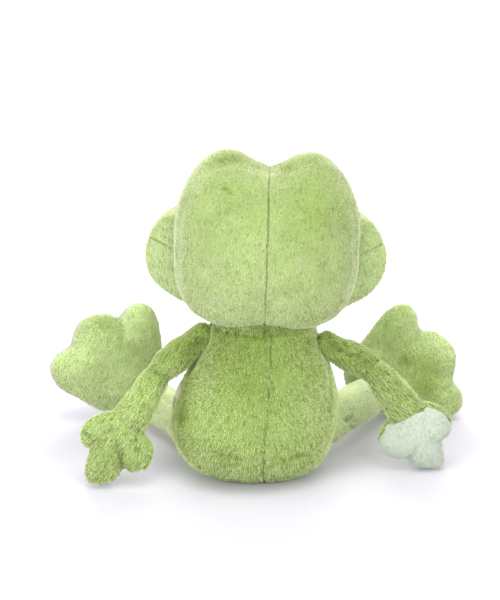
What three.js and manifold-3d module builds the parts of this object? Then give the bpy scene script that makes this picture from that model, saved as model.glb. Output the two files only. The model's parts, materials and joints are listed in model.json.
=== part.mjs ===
// Plush frog that sits and lets its hands hang to the table, 17 cm tall. Millimetres, +Z up.
// It looks towards -Y, its left side is +X, and the origin is the middle of its seat on the table.
// Each padded piece is a stuffed form: rings set along an axis, which swell and taper as filled cloth does.
// Each named group is a soft joint: its origin is the pivot and its X axis is the line that it bends about.

import * as THREE from "three";
import { mergeVertices } from "three/addons/utils/BufferGeometryUtils.js";
import Module from "manifold-3d";

const wasm = await Module();
wasm.setup();

// Cloth and sewing
const cloth = 2; // plush cloth with its pile
const sewnGap = 0.3; // between two pieces that lie against each other
const ballPlay = 0.5; // round a gathered root or a neck, which turns in its seat
const overrun = 6; // by which a cutting form reaches past what it cuts
const seatCut = 0.5; // the seat is pressed flat this deep
const restHeight = 0.8; // lowest point of the seam round a hand or foot that rests on the table

// Torso
const torsoHeight = 81.5;
const torsoWidth = 84;
const bellyReach = 38.5; // from the side seams forward
const backReach = 35; // from the side seams back
const pelletHeight = 20; // top of the pellet bag
const slumpReach = 4.7; // it sits slumped to its left by this much, and turned by this many degrees
const torsoTurn = 9;

// Neck: a stuffed dome on the torso's rim, round which the head turns and nods
const neckRadius = 28.8;
const neckSink = 13.5; // centre of the dome below the rim

// Head
const headWidth = 91; // over the back panels
const headLift = 40.5; // middle of the head above the torso's rim
const crownRise = 35;
const jawDrop = 42;
const napeReach = 34; // from the side seams back
const faceReach = 50; // from the side seams forward
const sideSeamShift = 4; // side seams of the head behind the middle of the torso
const cheekBulge = 15.8;
const cheekHeight = 45;
const cheekSink = 10; // middle of the cheeks below the middle of the head
const browRise = 12.8; // eye domes above the crown
const browSpacing = 48;
const browWidth = 42;
const browLength = 44;
const foreheadDip = 7; // valley between the eye domes, in front of the crown
const foreheadWidth = 20;
const mouthSink = 18; // middle of the mouth seam below the middle of the head
const mouthCurl = 18.5; // by which the mouth seam climbs to the cheeks
const headLean = 1.8; // degrees to its right, as it was sewn on

// Safety eyes
const eyeRadius = 6.2;
const eyeBulge = 3.8;
const shankRadius = 1.5;
const shankLength = 9;
const washerRadius = 6;
const washerThickness = 1.2;
const washerSink = 4.9; // front of the washer below the cloth's outer face

// Arms
const armRadius = 7.6;
const upperArmLength = 29.5;
const forearmLength = 28.5;
const shoulderBall = 5.5; // radius of the gathered root
const shoulderTurn = 6; // degrees from straight to the side, to the back
const handLength = 38;
const handThickness = 15;

// Legs
const legRadius = 10.5;
const thighLength = 31;
const shinLength = 32;
const hipHeight = 13;
const hipBall = 6.5;
const hipTurn = -46; // so the hips look forward
const footLength = 50; // from the middle of the heel to the longest toe
const footThickness = 26;
const ankleInset = 1.5; // ankle to the inner side of the heel's middle
const ankleDrop = 5; // ankle below the heel's middle
const ankleSink = 4.5; // how deep the shin's round end sits in the foot

// Torso rings: height, half width, belly, back and sway, as shares of the torso's own sizes
const torsoShares = [
  [0.007, 0.405, 0.416, 0.257, 0.1],
  [0.037, 0.631, 0.623, 0.514, 0.45],
  [0.098, 0.798, 0.792, 0.743, 0.78],
  [0.184, 0.91, 0.914, 0.903, 0.96],
  [0.282, 0.976, 0.987, 0.986, 1],
  [0.38, 1, 1, 1, 0.9],
  [0.491, 0.981, 0.974, 0.971, 0.7],
  [0.613, 0.914, 0.891, 0.894, 0.46],
  [0.724, 0.824, 0.8, 0.817, 0.24],
  [0.822, 0.729, 0.722, 0.754, 0.08],
  [0.908, 0.652, 0.675, 0.726, 0.02],
  [1, 0.607, 0.662, 0.729, 0],
];
// The side seam seen from the side: back reach and height, from under the seat up past the rim
const sideSeamShares = [
  [0.3, -0.1],
  [0.26, 0.05],
  [0.08, 0.2],
  [0, 0.45],
  [0, 1.1],
];
// Head rings: how far each lies from the side seams, as shares of the reach to the nape and to the face
const napeShares = [0.97, 0.88, 0.72, 0.5, 0.25, 0];
const faceShares = [0.06, 0.14, 0.27, 0.42, 0.57, 0.71, 0.84, 0.94];
// The head's side seam seen from the side: reach ahead and level, from under the jaw up and forward over the crown
const headSeamShares = [
  [0, -4],
  [0, 0.3],
  [0.06, 0.55],
  [0.2, 0.85],
  [0.32, 1.15],
  [0.36, 4],
];
// The mouth seam from its middle to a cheek: reach and climb, as shares of half its width and of its curl
const mouthShares = [
  [0, 0],
  [0.25, 0.06],
  [0.5, 0.3],
  [0.72, 0.8],
  [0.86, 1],
  [1, 0.85],
];
// From a stitched crease: distance, half width and half depth, in limb radii
const creaseShares = [
  [0.03, 0.72, 0.03],
  [0.11, 0.77, 0.12],
  [0.27, 0.83, 0.29],
  [0.53, 0.91, 0.56],
  [0.93, 0.97, 0.84],
];
// From a gathered root: distance and radius, in limb radii
const gatherShares = [
  [0.5, 0.52],
  [0.88, 0.72],
  [1.36, 0.94],
];
const rootShare = 0.62; // how far a gathered root's middle stands off the torso, in its own radii
// A round end past its pivot: distance and radius, in limb radii
const roundEndShares = [
  [0, 0.9],
  [0.35, 0.83],
  [0.64, 0.63],
  [0.83, 0.35],
];
const roundEndShare = 0.9; // the radius of that end
const wristShares = [1.28, 0.94]; // half width and half depth of the wrist, in arm radii
// Outline of the hand about the wrist: angle from the middle finger in degrees, reach in hand lengths
const handShares = [
  [180, 0.3],
  [120, 0.27],
  [92, 0.27],
  [77, 0.36],
  [65, 0.48],
  [51, 0.6],
  [39, 0.66],
  [28, 0.665],
  [20, 0.63],
  [13, 0.71],
  [8, 0.84],
  [3, 0.93],
  [-3, 0.965],
  [-10, 0.93],
  [-18, 0.86],
  [-24, 0.77],
  [-30, 0.665],
  [-37, 0.675],
  [-46, 0.685],
  [-60, 0.65],
  [-74, 0.54],
  [-86, 0.4],
  [-100, 0.31],
  [-125, 0.27],
];
const handMiddleShare = 0.42; // from the wrist to the middle of the palm
// Outline of the foot about the heel: angle from the middle toe in degrees, reach in foot lengths
const footShares = [
  [180, 0.3],
  [140, 0.3],
  [112, 0.33],
  [96, 0.42],
  [80, 0.5],
  [66, 0.62],
  [54, 0.83],
  [46, 0.93],
  [38, 0.97],
  [30, 0.92],
  [23, 0.82],
  [17, 0.85],
  [9, 0.91],
  [1, 0.92],
  [-8, 0.89],
  [-18, 0.83],
  [-27, 0.735],
  [-33, 0.83],
  [-40, 0.905],
  [-47, 0.905],
  [-54, 0.84],
  [-61, 0.72],
  [-71, 0.58],
  [-84, 0.47],
  [-115, 0.42],
  [-150, 0.36],
];
const footMiddleShare = 0.38;
// A pillow's rings from its edge to its middle: reach and rise
const pillowShares = [
  [1, 0],
  [0.975, 0.27],
  [0.89, 0.56],
  [0.7, 0.84],
  [0.4, 0.98],
];
const toeDipShare = 0.75; // how much lower the pillow lies between fingers or toes

// Resting pose, in degrees. out: from straight down (arms) or straight ahead (legs) to the side; back, rise: as named.
// shoulderShare is the arm's height on the torso.
const pose = {
  left: {
    side: 1,
    shoulderShare: 0.926,
    upperArm: { out: 49, back: 11 },
    forearm: { out: 33, back: 12 },
    hand: { out: 36, back: 3 },
    backOfHandLooksBack: true,
    thigh: { out: 25, rise: -2 },
    shin: { out: 31, rise: 6 },
    foot: { out: 31, yaw: 24, lean: 13 },
  },
  right: {
    side: -1,
    shoulderShare: 0.865,
    upperArm: { out: 57, back: -8 },
    forearm: { out: 36, back: -8 },
    hand: { out: 31, back: -6 },
    backOfHandLooksBack: false,
    thigh: { out: 38, rise: 4 },
    shin: { out: 29, rise: 4 },
    foot: { out: 64, yaw: 6, lean: 13 },
  },
};

const roundSteps = 24; // points round the torso
const headSteps = 56; // points round the head
const hiddenSteps = 18; // points round the inner face of the cloth, the fillings and the neck
const limbSteps = 12;
const outlineSteps = 34;

const plush = { color: 0xa9c777, roughness: 0.95, metalness: 0 };
const materials = {
  green: new THREE.MeshStandardMaterial(plush),
  mint: new THREE.MeshStandardMaterial({ ...plush, color: 0xd3e4cf }),
  filling: new THREE.MeshStandardMaterial({ color: 0xf3f2ec, roughness: 1, metalness: 0 }),
  pellets: new THREE.MeshStandardMaterial({ color: 0xe2ddcf, roughness: 0.8, metalness: 0 }),
  eye: new THREE.MeshStandardMaterial({ color: 0x141414, roughness: 0.12, metalness: 0 }),
  washer: new THREE.MeshStandardMaterial({ color: 0xf0f0f0, roughness: 0.45, metalness: 0 }),
};

const up = new THREE.Vector3(0, 0, 1);
const backwards = new THREE.Vector3(0, 1, 0);
const radians = THREE.MathUtils.degToRad;
const angles = (count) => Array.from({ length: count }, (_, step) => (2 * Math.PI * step) / count);
const power = (value, exponent) => Math.sign(value) * Math.abs(value) ** exponent;
const middleOf = (points) =>
  points.reduce((sum, point) => sum.add(point), new THREE.Vector3()).divideScalar(points.length);

// A closed skin over rings of points, ended by one point at each side
function loft(rings, start = middleOf(rings[0]), end = middleOf(rings.at(-1))) {
  const around = rings[0].length;
  const points = [start, ...rings.flat(), end];
  const at = (ring, step) => 1 + ring * around + (step % around);
  const faces = [];
  for (let step = 0; step < around; step += 1) {
    faces.push([0, at(0, step + 1), at(0, step)]);
    for (let ring = 0; ring + 1 < rings.length; ring += 1) {
      faces.push([at(ring, step), at(ring, step + 1), at(ring + 1, step)]);
      faces.push([at(ring, step + 1), at(ring + 1, step + 1), at(ring + 1, step)]);
    }
    faces.push([points.length - 1, at(rings.length - 1, step), at(rings.length - 1, step + 1)]);
  }
  const side = new THREE.Vector3();
  const volume = faces.reduce(
    (sum, [a, b, c]) => sum + side.crossVectors(points[a], points[b]).dot(points[c]),
    0,
  );
  const geometry = new THREE.BufferGeometry().setFromPoints(points);
  geometry.setIndex(faces.flatMap(([a, b, c]) => (volume > 0 ? [a, b, c] : [a, c, b])));
  return geometry;
}

function solid(geometry) {
  const bare = geometry.clone();
  bare.deleteAttribute("normal");
  bare.deleteAttribute("uv");
  const merged = mergeVertices(bare);
  const mesh = { numProp: 3, vertProperties: merged.attributes.position.array };
  return new wasm.Manifold(new wasm.Mesh({ ...mesh, triVerts: new Uint32Array(merged.index.array) }));
}

function geometryOf(piece) {
  const { vertProperties, triVerts } = piece.getMesh();
  const geometry = new THREE.BufferGeometry();
  geometry.setAttribute("position", new THREE.BufferAttribute(vertProperties, 3));
  return geometry.setIndex(new THREE.BufferAttribute(triVerts, 1));
}

const ball = (centre, radius, steps) =>
  solid(new THREE.SphereGeometry(radius, steps, steps / 2).translate(centre.x, centre.y, centre.z));

// What a ball needs to turn in: the flats of this one stay outside the ball and its play
const socketFor = (centre, radius, steps) =>
  ball(centre, (radius + ballPlay) / Math.cos(Math.PI / steps) ** 2, steps);

// A profile drawn in the plane of two axes and drawn out to both sides of it
function prism(points, right, rise, halfDepth) {
  const outline = new THREE.Shape(points.map(([x, y]) => new THREE.Vector2(x, y)));
  const block = new THREE.ExtrudeGeometry(outline, { depth: 2 * halfDepth, bevelEnabled: false });
  block.translate(0, 0, -halfDepth);
  const across = new THREE.Vector3().crossVectors(right, rise);
  return solid(block.applyMatrix4(new THREE.Matrix4().makeBasis(right, rise, across)));
}

const sideways = new THREE.Vector3(1, 0, 0);

// What lies to one side of the middle plane, less half a sewn gap
function halfSpace(side, reach) {
  const near = (side * sewnGap) / 2;
  const far = side * reach;
  const corners = [
    [near, -reach],
    [far, -reach],
    [far, reach],
    [near, reach],
  ];
  return prism(side > 0 ? corners : corners.reverse(), sideways, up, reach);
}

// What lies behind (way 1) or before (way -1) a seam line seen from the side
function seamSpace(line, way, reach) {
  const edge = line.map(([y, z]) => [y + (way * sewnGap) / 2, z]);
  return prism([...edge, [way * reach, edge.at(-1)[1]], [way * reach, edge[0][1]]], backwards, up, reach);
}

// Joints and pieces
function joint(parent, name, pivot, axis, along) {
  const x = axis.clone().normalize();
  const y = new THREE.Vector3().crossVectors(along, x).normalize();
  const z = new THREE.Vector3().crossVectors(x, y);
  const group = new THREE.Group();
  group.name = name;
  new THREE.Matrix4().makeBasis(x, y, z).setPosition(pivot)
    .decompose(group.position, group.quaternion, group.scale);
  parent.attach(group);
  group.updateWorldMatrix(true, false);
  return group;
}

function add(group, name, geometry, material) {
  const local = geometry.clone().applyMatrix4(group.matrixWorld.clone().invert());
  local.computeVertexNormals();
  const mesh = new THREE.Mesh(local, material);
  mesh.name = name;
  group.add(mesh);
}

// Torso
// The shares of the torso's ring at a height, which is itself a share
function torsoShareAt(height) {
  const next = Math.max(1, torsoShares.findIndex(([at]) => at >= Math.min(height, 1)));
  const [low, high] = [torsoShares[next - 1], torsoShares[next]];
  const blend = (height - low[0]) / (high[0] - low[0]);
  return low.map((value, index) => value + blend * (high[index] - value));
}

// A point of the torso as it was sewn, moved to where it sits
function slumped(point) {
  const sway = torsoShareAt(point.z / torsoHeight).at(-1) * slumpReach;
  const moved = point.clone().applyAxisAngle(up, radians(torsoTurn));
  return moved.setX(moved.x + sway);
}

function slump(piece) {
  const geometry = geometryOf(piece);
  const places = geometry.attributes.position;
  for (let index = 0; index < places.count; index += 1) {
    const { x, y, z } = slumped(new THREE.Vector3().fromBufferAttribute(places, index));
    places.setXYZ(index, x, y, z);
  }
  return solid(geometry);
}

function torsoPoint([height, width, belly, back], angle, inset) {
  const reach = Math.sin(angle) < 0 ? belly * bellyReach : back * backReach;
  const half = (width * torsoWidth) / 2;
  const z = height * torsoHeight + inset * (1 - height);
  return new THREE.Vector3(Math.cos(angle) * (half - inset), Math.sin(angle) * (reach - inset), z);
}

function torsoRing(row, inset) {
  return angles(inset > 0 ? hiddenSteps : roundSteps).map((angle) => torsoPoint(row, angle, inset));
}

const rim = new THREE.Vector3(0, 0, torsoHeight);
const torsoReach = torsoHeight + overrun;

function torsoForm(inset, rows, start = middleOf(torsoRing(rows[0], inset))) {
  return solid(loft(rows.map((row) => torsoRing(row, inset)), start));
}

function addTorso(group, seats) {
  const carve = (piece) => geometryOf(seats.reduce((rest, hole) => rest.subtract(hole), slump(piece)));
  const aboveSeat = prism(
    [
      [-torsoReach, 0],
      [torsoReach, 0],
      [torsoReach, 2 * torsoReach],
      [-torsoReach, 2 * torsoReach],
    ],
    sideways,
    up,
    torsoReach,
  );
  const [, ...rimSizes] = torsoShares.at(-1);
  const hollow = torsoForm(cloth, [...torsoShares, [1 + overrun / torsoHeight, ...rimSizes]]);
  const sewn = torsoForm(0, torsoShares, new THREE.Vector3(0, 0, -seatCut));
  const shell = sewn.intersect(aboveSeat).subtract(hollow);
  const seamLine = sideSeamShares.map(([y, z]) => [y * backReach, z * torsoHeight]);
  const back = shell.intersect(seamSpace(seamLine, 1, torsoReach));
  add(group, "torso_back_left_panel", carve(back.intersect(halfSpace(1, torsoReach))), materials.green);
  add(group, "torso_back_right_panel", carve(back.intersect(halfSpace(-1, torsoReach))), materials.green);
  add(group, "belly_panel", carve(shell.intersect(seamSpace(seamLine, -1, torsoReach))), materials.green);

  const inset = cloth + sewnGap;
  const level = pelletHeight / torsoHeight;
  const low = torsoShares.filter(([height]) => height < level);
  const high = torsoShares.filter(([height]) => height > level);
  const pellets = torsoForm(inset, [...low, torsoShareAt(level)]);
  const stuffing = torsoForm(inset, [torsoShareAt(level + (2 * sewnGap) / torsoHeight), ...high]);
  add(group, "pellet_bag", carve(pellets), materials.pellets);
  add(group, "torso_stuffing", carve(stuffing), materials.filling);
}

// Neck
const neckCentre = rim.clone().setZ(torsoHeight - neckSink);

function neckDome() {
  const foot = Math.acos((neckSink + sewnGap) / neckRadius);
  const turns = [1, 0.75, 0.5, 0.25].map((share) => share * foot);
  const rings = turns.map((turn) =>
    angles(hiddenSteps).map((angle) => {
      const r = neckRadius * Math.sin(turn);
      const z = neckCentre.z + neckRadius * Math.cos(turn);
      return new THREE.Vector3(r * Math.cos(angle), r * Math.sin(angle), z);
    }),
  );
  return loft(rings, undefined, neckCentre.clone().setZ(neckCentre.z + neckRadius));
}

// Head
const headMiddle = new THREE.Vector3(0, sideSeamShift, torsoHeight + headLift);
const crossBulge = 2.3; // how full the head is, front to back
const crownBulge = 3.4; // and from side to side, above and below its middle
const jawBulge = 3;

// One point of the head's face. ahead: distance before the side seams, behind them if negative
function headPoint(ahead, angle, inset = 0) {
  const reach = ahead > 0 ? faceReach : napeReach;
  const full = (1 - Math.abs(ahead / reach) ** crossBulge) ** (1 / crossBulge);
  const [c, s] = [Math.cos(angle), Math.sin(angle)];
  const bulge = s > 0 ? crownBulge : jawBulge;
  const aslant = power(c, 2 / bulge);
  const steep = power(s, 2 / bulge);
  const outerX = (headWidth / 2) * full * aslant;
  const outerZ = (s > 0 ? crownRise : jawDrop) * full * steep;
  let x = outerX - inset * aslant;
  let z = outerZ - inset * steep;
  const cheekStart = THREE.MathUtils.smoothstep(ahead / faceReach, 0, 0.16);
  const cheekEnd = Math.max(0, 1 - (ahead / faceReach) ** 3) ** 0.5;
  const level = Math.min(1, Math.abs((outerZ + cheekSink) / (cheekHeight / 2 - inset)));
  x += Math.sign(c) * cheekBulge * cheekStart * cheekEnd * (1 - level ** 2) ** 0.5;
  const beyondCrown = THREE.MathUtils.smoothstep(ahead / faceReach, 0.12, 0.5);
  z -= foreheadDip * beyondCrown * Math.exp(-((outerX / (foreheadWidth / 2)) ** 2)) * Math.max(0, s) ** 4 * full;
  const along = Math.exp(-(((ahead - 0.2 * browLength) / (browLength / 2)) ** 2));
  const aside = Math.exp(-(((Math.abs(outerX) - browSpacing / 2) / (browWidth / 2)) ** 2));
  z += browRise * along * aside * Math.max(0, s) ** 0.7 * full ** 0.5;
  const squeeze = (reach - inset) / reach;
  return new THREE.Vector3(x, headMiddle.y - ahead * squeeze, headMiddle.z + z);
}

// The angles that space points evenly round the head's fullest outline, from the middle of the crown on
function evenAngles(count) {
  const fine = angles(count * 12).map((angle) => angle + Math.PI / 2);
  const outline = fine.map((angle) => headPoint(faceShares[3] * faceReach, angle));
  const gone = [0];
  outline.forEach((point, step) => gone.push(gone[step] + point.distanceTo(outline[(step + 1) % fine.length])));
  return angles(count).map((turn) => {
    const target = (turn / (2 * Math.PI)) * gone.at(-1);
    return fine[gone.findIndex((distance) => distance >= target - Number.EPSILON)] ?? fine[0];
  });
}

function headForm(inset) {
  const places = [...napeShares.map((x) => -x * napeReach), ...faceShares.map((x) => x * faceReach)];
  const around = evenAngles(inset > 0 ? hiddenSteps * 2 : headSteps);
  const rings = places.map((ahead) => around.map((angle) => headPoint(ahead, angle, inset)));
  const nape = headMiddle.clone().setY(headMiddle.y + napeReach - inset);
  const nose = headMiddle.clone().setY(headMiddle.y - faceReach + inset);
  return solid(loft(rings, nape, nose));
}

const headReach = headWidth + faceReach;
const eyeAhead = 0.6 * faceReach;
const eyeAngle = radians(61);

// Where an eye sits: on the cloth, its Z axis along the outward normal
function eyeSeat(side) {
  const turn = (angle) => (side > 0 ? angle : Math.PI - angle);
  const step = 0.01;
  const centre = headPoint(eyeAhead, turn(eyeAngle));
  const round = headPoint(eyeAhead, turn(eyeAngle + step)).sub(centre);
  const ahead = headPoint(eyeAhead + step * faceReach, turn(eyeAngle)).sub(centre);
  const normal = new THREE.Vector3().crossVectors(ahead, round).multiplyScalar(side).normalize();
  if (normal.y > 0) normal.negate();
  const right = new THREE.Vector3().crossVectors(up, normal).normalize();
  const rise = new THREE.Vector3().crossVectors(normal, right);
  return new THREE.Matrix4().makeBasis(right, rise, normal).setPosition(centre.addScaledVector(normal, sewnGap));
}

function turned(rows, steps = 12) {
  const rings = rows.map(([radius, z]) =>
    angles(steps).map((angle) => new THREE.Vector3(radius * Math.cos(angle), radius * Math.sin(angle), z)),
  );
  return loft(rings);
}

function addEye(sew, sideName, seat) {
  const dome = [1, 0.94, 0.75, 0.45, 0.15];
  const rows = dome.map((share) => [share * eyeRadius, eyeBulge * Math.sqrt(1 - share ** 2)]);
  const eye = turned([[shankRadius, -shankLength], [shankRadius, 0], ...rows]).applyMatrix4(seat);
  sew(`${sideName}_eye`, eye, materials.eye);
  const disc = new THREE.Shape().absarc(0, 0, washerRadius, 0, 2 * Math.PI);
  disc.holes.push(new THREE.Path().absarc(0, 0, shankRadius + sewnGap, 0, 2 * Math.PI));
  const extrude = { depth: washerThickness, bevelEnabled: false, curveSegments: 6 };
  const washer = new THREE.ExtrudeGeometry(disc, extrude).translate(0, 0, -washerSink - washerThickness);
  sew(`${sideName}_eye_washer`, geometryOf(solid(washer.applyMatrix4(seat))), materials.washer);
}

// The head leans about the middle of its dish
const lean = new THREE.Matrix4()
  .makeTranslation(neckCentre)
  .multiply(new THREE.Matrix4().makeRotationY(-radians(headLean)))
  .multiply(new THREE.Matrix4().makeTranslation(neckCentre.clone().negate()));

function addHead(body) {
  const sew = (name, geometry, material) => add(body, name, geometry.applyMatrix4(lean), material);
  const socket = socketFor(neckCentre, neckRadius, hiddenSteps);
  const seats = { left: eyeSeat(1), right: eyeSeat(-1) };
  const shanks = Object.values(seats).map((seat) =>
    solid(turned([
      [shankRadius + sewnGap, -shankLength - sewnGap],
      [shankRadius + sewnGap, overrun],
    ]).applyMatrix4(seat)),
  );
  const pockets = Object.values(seats).map((seat) =>
    solid(turned([
      [washerRadius + sewnGap, -washerSink - washerThickness - sewnGap],
      [washerRadius + sewnGap, overrun],
    ]).applyMatrix4(seat)),
  );
  const shell = headForm(0).subtract(headForm(cloth)).subtract(socket);
  const seamLine = headSeamShares.map(([ahead, level]) => [
    headMiddle.y - ahead * faceReach,
    headMiddle.z + level * (level > 0 ? crownRise : jawDrop),
  ]);
  const back = shell.intersect(seamSpace(seamLine, 1, headReach));
  sew("head_back_left_panel", geometryOf(back.intersect(halfSpace(1, 2 * headReach))), materials.green);
  sew("head_back_right_panel", geometryOf(back.intersect(halfSpace(-1, 2 * headReach))), materials.green);

  const front = shell.intersect(seamSpace(seamLine, -1, headReach));
  const mouthHalf = headWidth / 2 + cheekBulge + overrun;
  const otherHalf = mouthShares.slice(1).reverse().map(([share, climb]) => [-share, climb]);
  const mouth = [...otherHalf, ...mouthShares].map(([share, climb]) => [
    share * mouthHalf,
    headMiddle.z - mouthSink + mouthCurl * climb,
  ]);
  const shifted = (gap) => mouth.map(([x, z]) => [x, z + gap]);
  const top = headMiddle.z + headReach;
  const above = prism([...shifted(sewnGap / 2), [mouthHalf, top], [-mouthHalf, top]], sideways, up, headReach);
  const below = prism([[-mouthHalf, 0], [mouthHalf, 0], ...shifted(-sewnGap / 2).reverse()], sideways, up, headReach);
  const face = shanks.reduce((rest, hole) => rest.subtract(hole), front.intersect(above));
  sew("upper_face_panel", geometryOf(face), materials.green);
  sew("lower_jaw_panel", geometryOf(front.intersect(below)), materials.green);
  const filling = [...shanks, ...pockets].reduce(
    (rest, hole) => rest.subtract(hole),
    headForm(cloth + sewnGap).subtract(socket),
  );
  sew("head_stuffing", geometryOf(filling), materials.filling);
  Object.entries(seats).forEach(([name, seat]) => addEye(sew, name, seat));
}

// Limbs
// A path from a pivot to the next that starts along one direction and ends along another
function limbPath(start, along, length, endAlong) {
  const end = start.clone().addScaledVector(along, length);
  const third = length / 3;
  return new THREE.CubicBezierCurve3(
    start,
    start.clone().addScaledVector(along, third),
    end.clone().addScaledVector(endAlong, -third),
    end,
  );
}

// Oval rings along a path. Each row is distance, half width and half depth; depth lies along the given axis
function sweep(path, depthAxis, rows, poleDistance) {
  const length = path.getLength();
  const placeAt = (distance) => {
    const share = THREE.MathUtils.clamp(distance / length, 0, 1);
    const tangent = path.getTangentAt(share);
    const past = distance - share * length;
    return { tangent, centre: path.getPointAt(share).addScaledVector(tangent, past) };
  };
  const rings = rows.map(([distance, halfWidth, halfDepth]) => {
    const { tangent, centre } = placeAt(distance);
    const width = new THREE.Vector3().crossVectors(depthAxis, tangent).normalize();
    const depth = new THREE.Vector3().crossVectors(tangent, width);
    return angles(limbSteps).map((angle) =>
      centre.clone()
        .addScaledVector(width, halfWidth * Math.cos(angle))
        .addScaledVector(depth, halfDepth * Math.sin(angle)),
    );
  });
  return loft(rings, undefined, poleDistance ? placeAt(poleDistance).centre : undefined);
}

const creaseRows = (radius) => creaseShares.map((row) => row.map((share) => share * radius));
const gatherRows = (radius) => gatherShares.map(([at, wide]) => [at * radius, wide * radius, wide * radius]);
const fromEnd = (rows, length) => rows.map(([at, ...sizes]) => [length - at, ...sizes]).reverse();

// Root to crease: upper arm and thigh. Crease to end: forearm and shin
const rootLimb = (radius, length) => [
  ...gatherRows(radius),
  [length / 2, radius, radius],
  ...fromEnd(creaseRows(radius), length),
];

const direction = (side, out, back) => {
  const [o, b] = [radians(out), radians(back)];
  return new THREE.Vector3(side * Math.sin(o) * Math.cos(b), Math.sin(b), -Math.cos(o) * Math.cos(b));
};
const legDirection = (side, out, rise) => {
  const [o, r] = [radians(out), radians(rise)];
  return new THREE.Vector3(side * Math.sin(o) * Math.cos(r), -Math.cos(o) * Math.cos(r), Math.sin(r));
};

// A flat padded shape: the half of it above (way 1) or below (way -1) its edge seam
function halfPillow(outline, middle, thickness, way) {
  const reaches = outline.map((point) => point.distanceTo(middle));
  const longest = Math.max(...reaches);
  const rings = pillowShares.map(([reach, rise]) =>
    outline.map((point, index) => {
      const dip = toeDipShare * reach ** 2 * (1 - reaches[index] / longest);
      const place = middle.clone().lerp(point, reach);
      return place.setZ(way * (sewnGap / 2 + (rise * (1 - dip) * thickness) / 2));
    }),
  );
  const base = middle.clone().setZ((way * sewnGap) / 2);
  return loft(rings, base, middle.clone().setZ((way * (sewnGap + thickness)) / 2));
}

function outlineOf(shares, length) {
  const points = shares.map(([angle, reach]) => {
    const [x, y] = [Math.sin(radians(angle)), Math.cos(radians(angle))];
    return new THREE.Vector3(x * reach * length, y * reach * length, 0);
  });
  return new THREE.CatmullRomCurve3(points, true).getSpacedPoints(outlineSteps).slice(0, -1);
}

// The edge seam of a limb that rests on the table: drawn in towards its middle where it would go below
function pressed(outline, middle, frame) {
  const heightOf = (point) => point.clone().applyMatrix4(frame).z;
  return outline.map((point) => {
    const dip = restHeight - heightOf(point);
    return dip > 0 ? point.clone().lerp(middle, dip / (heightOf(middle) - heightOf(point))) : point;
  });
}

// Axes with Y along a direction and Z as near as can be to another
function flatFrame(origin, along, facing) {
  const x = new THREE.Vector3().crossVectors(along, facing).normalize();
  const z = new THREE.Vector3().crossVectors(x, along);
  return new THREE.Matrix4().makeBasis(x, along, z).setPosition(origin);
}

// The middle of a gathered root on the torso. turn: degrees from straight to the side, to the back
function rootOf(side, height, turn, radius) {
  const world = side > 0 ? radians(turn) : Math.PI - radians(turn);
  const face = torsoPoint(torsoShareAt(height / torsoHeight), world - radians(torsoTurn), 0);
  const outward = new THREE.Vector3(Math.cos(world), Math.sin(world), 0);
  return slumped(face).addScaledVector(outward, rootShare * radius);
}

const shoulderOf = ({ side, shoulderShare }) =>
  rootOf(side, torsoHeight * shoulderShare, shoulderTurn, shoulderBall);
const hipOf = ({ side }) => rootOf(side, hipHeight, hipTurn, hipBall);

function addArm(body, name, rest) {
  const { side } = rest;
  const shoulder = shoulderOf(rest);
  const upper = direction(side, rest.upperArm.out, rest.upperArm.back);
  const fore = direction(side, rest.forearm.out, rest.forearm.back);
  const hand = direction(side, rest.hand.out, rest.hand.back);
  const bend = upper.clone().add(fore).normalize();
  const elbow = shoulder.clone().addScaledVector(upper, upperArmLength);
  const wrist = elbow.clone().addScaledVector(fore, forearmLength);
  const crease = new THREE.Vector3().crossVectors(bend, backwards).normalize();
  const thin = new THREE.Vector3().crossVectors(crease, bend);

  const swing = joint(body, `${name}_shoulder_swing`, shoulder, up, upper);
  const gather = ball(shoulder, shoulderBall, 10);
  add(swing, `${name}_shoulder_gather`, geometryOf(gather), materials.green);

  const lift = new THREE.Vector3().crossVectors(upper, up);
  const raise = joint(swing, `${name}_shoulder_raise`, shoulder, lift, upper);
  const seat = socketFor(shoulder, shoulderBall, 12);
  const upperForm = sweep(limbPath(shoulder, upper, upperArmLength, bend), thin, rootLimb(armRadius, upperArmLength));
  add(raise, `${name}_upper_arm`, geometryOf(solid(upperForm).subtract(seat)), materials.green);

  const elbowJoint = joint(raise, `${name}_elbow_bend`, elbow, crease, fore);
  const [wristWidth, wristDepth] = wristShares.map((share) => share * armRadius);
  const foreRows = [
    ...creaseRows(armRadius),
    [0.55 * forearmLength, 1.06 * armRadius, armRadius],
    [forearmLength - sewnGap, wristWidth, wristDepth],
  ];
  const forePath = new THREE.CubicBezierCurve3(
    elbow,
    elbow.clone().addScaledVector(bend, forearmLength / 3),
    wrist.clone().addScaledVector(hand, -forearmLength / 3),
    wrist,
  );
  const stretch = forePath.getLength() / forearmLength;
  const rows = foreRows.map(([at, ...sizes]) => [at > armRadius ? at * stretch : at, ...sizes]);
  add(elbowJoint, `${name}_forearm`, sweep(forePath, thin, rows), materials.green);

  const facing = backwards.clone().multiplyScalar(rest.backOfHandLooksBack ? 1 : -1);
  const frame = flatFrame(wrist, hand, facing);
  const middle = new THREE.Vector3(0, handMiddleShare * handLength, 0);
  const outline = pressed(outlineOf(handShares, handLength), middle, frame);
  const pastWrist = prism(
    [
      [-handLength, sewnGap],
      [handLength, sewnGap],
      [handLength, 2 * handLength],
      [-handLength, 2 * handLength],
    ],
    sideways,
    backwards,
    handThickness,
  );
  const half = (way) => geometryOf(solid(halfPillow(outline, middle, handThickness, way)).intersect(pastWrist));
  add(elbowJoint, `${name}_hand_back`, half(1).applyMatrix4(frame), materials.green);
  add(elbowJoint, `${name}_palm`, half(-1).applyMatrix4(frame), materials.mint);
}

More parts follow.
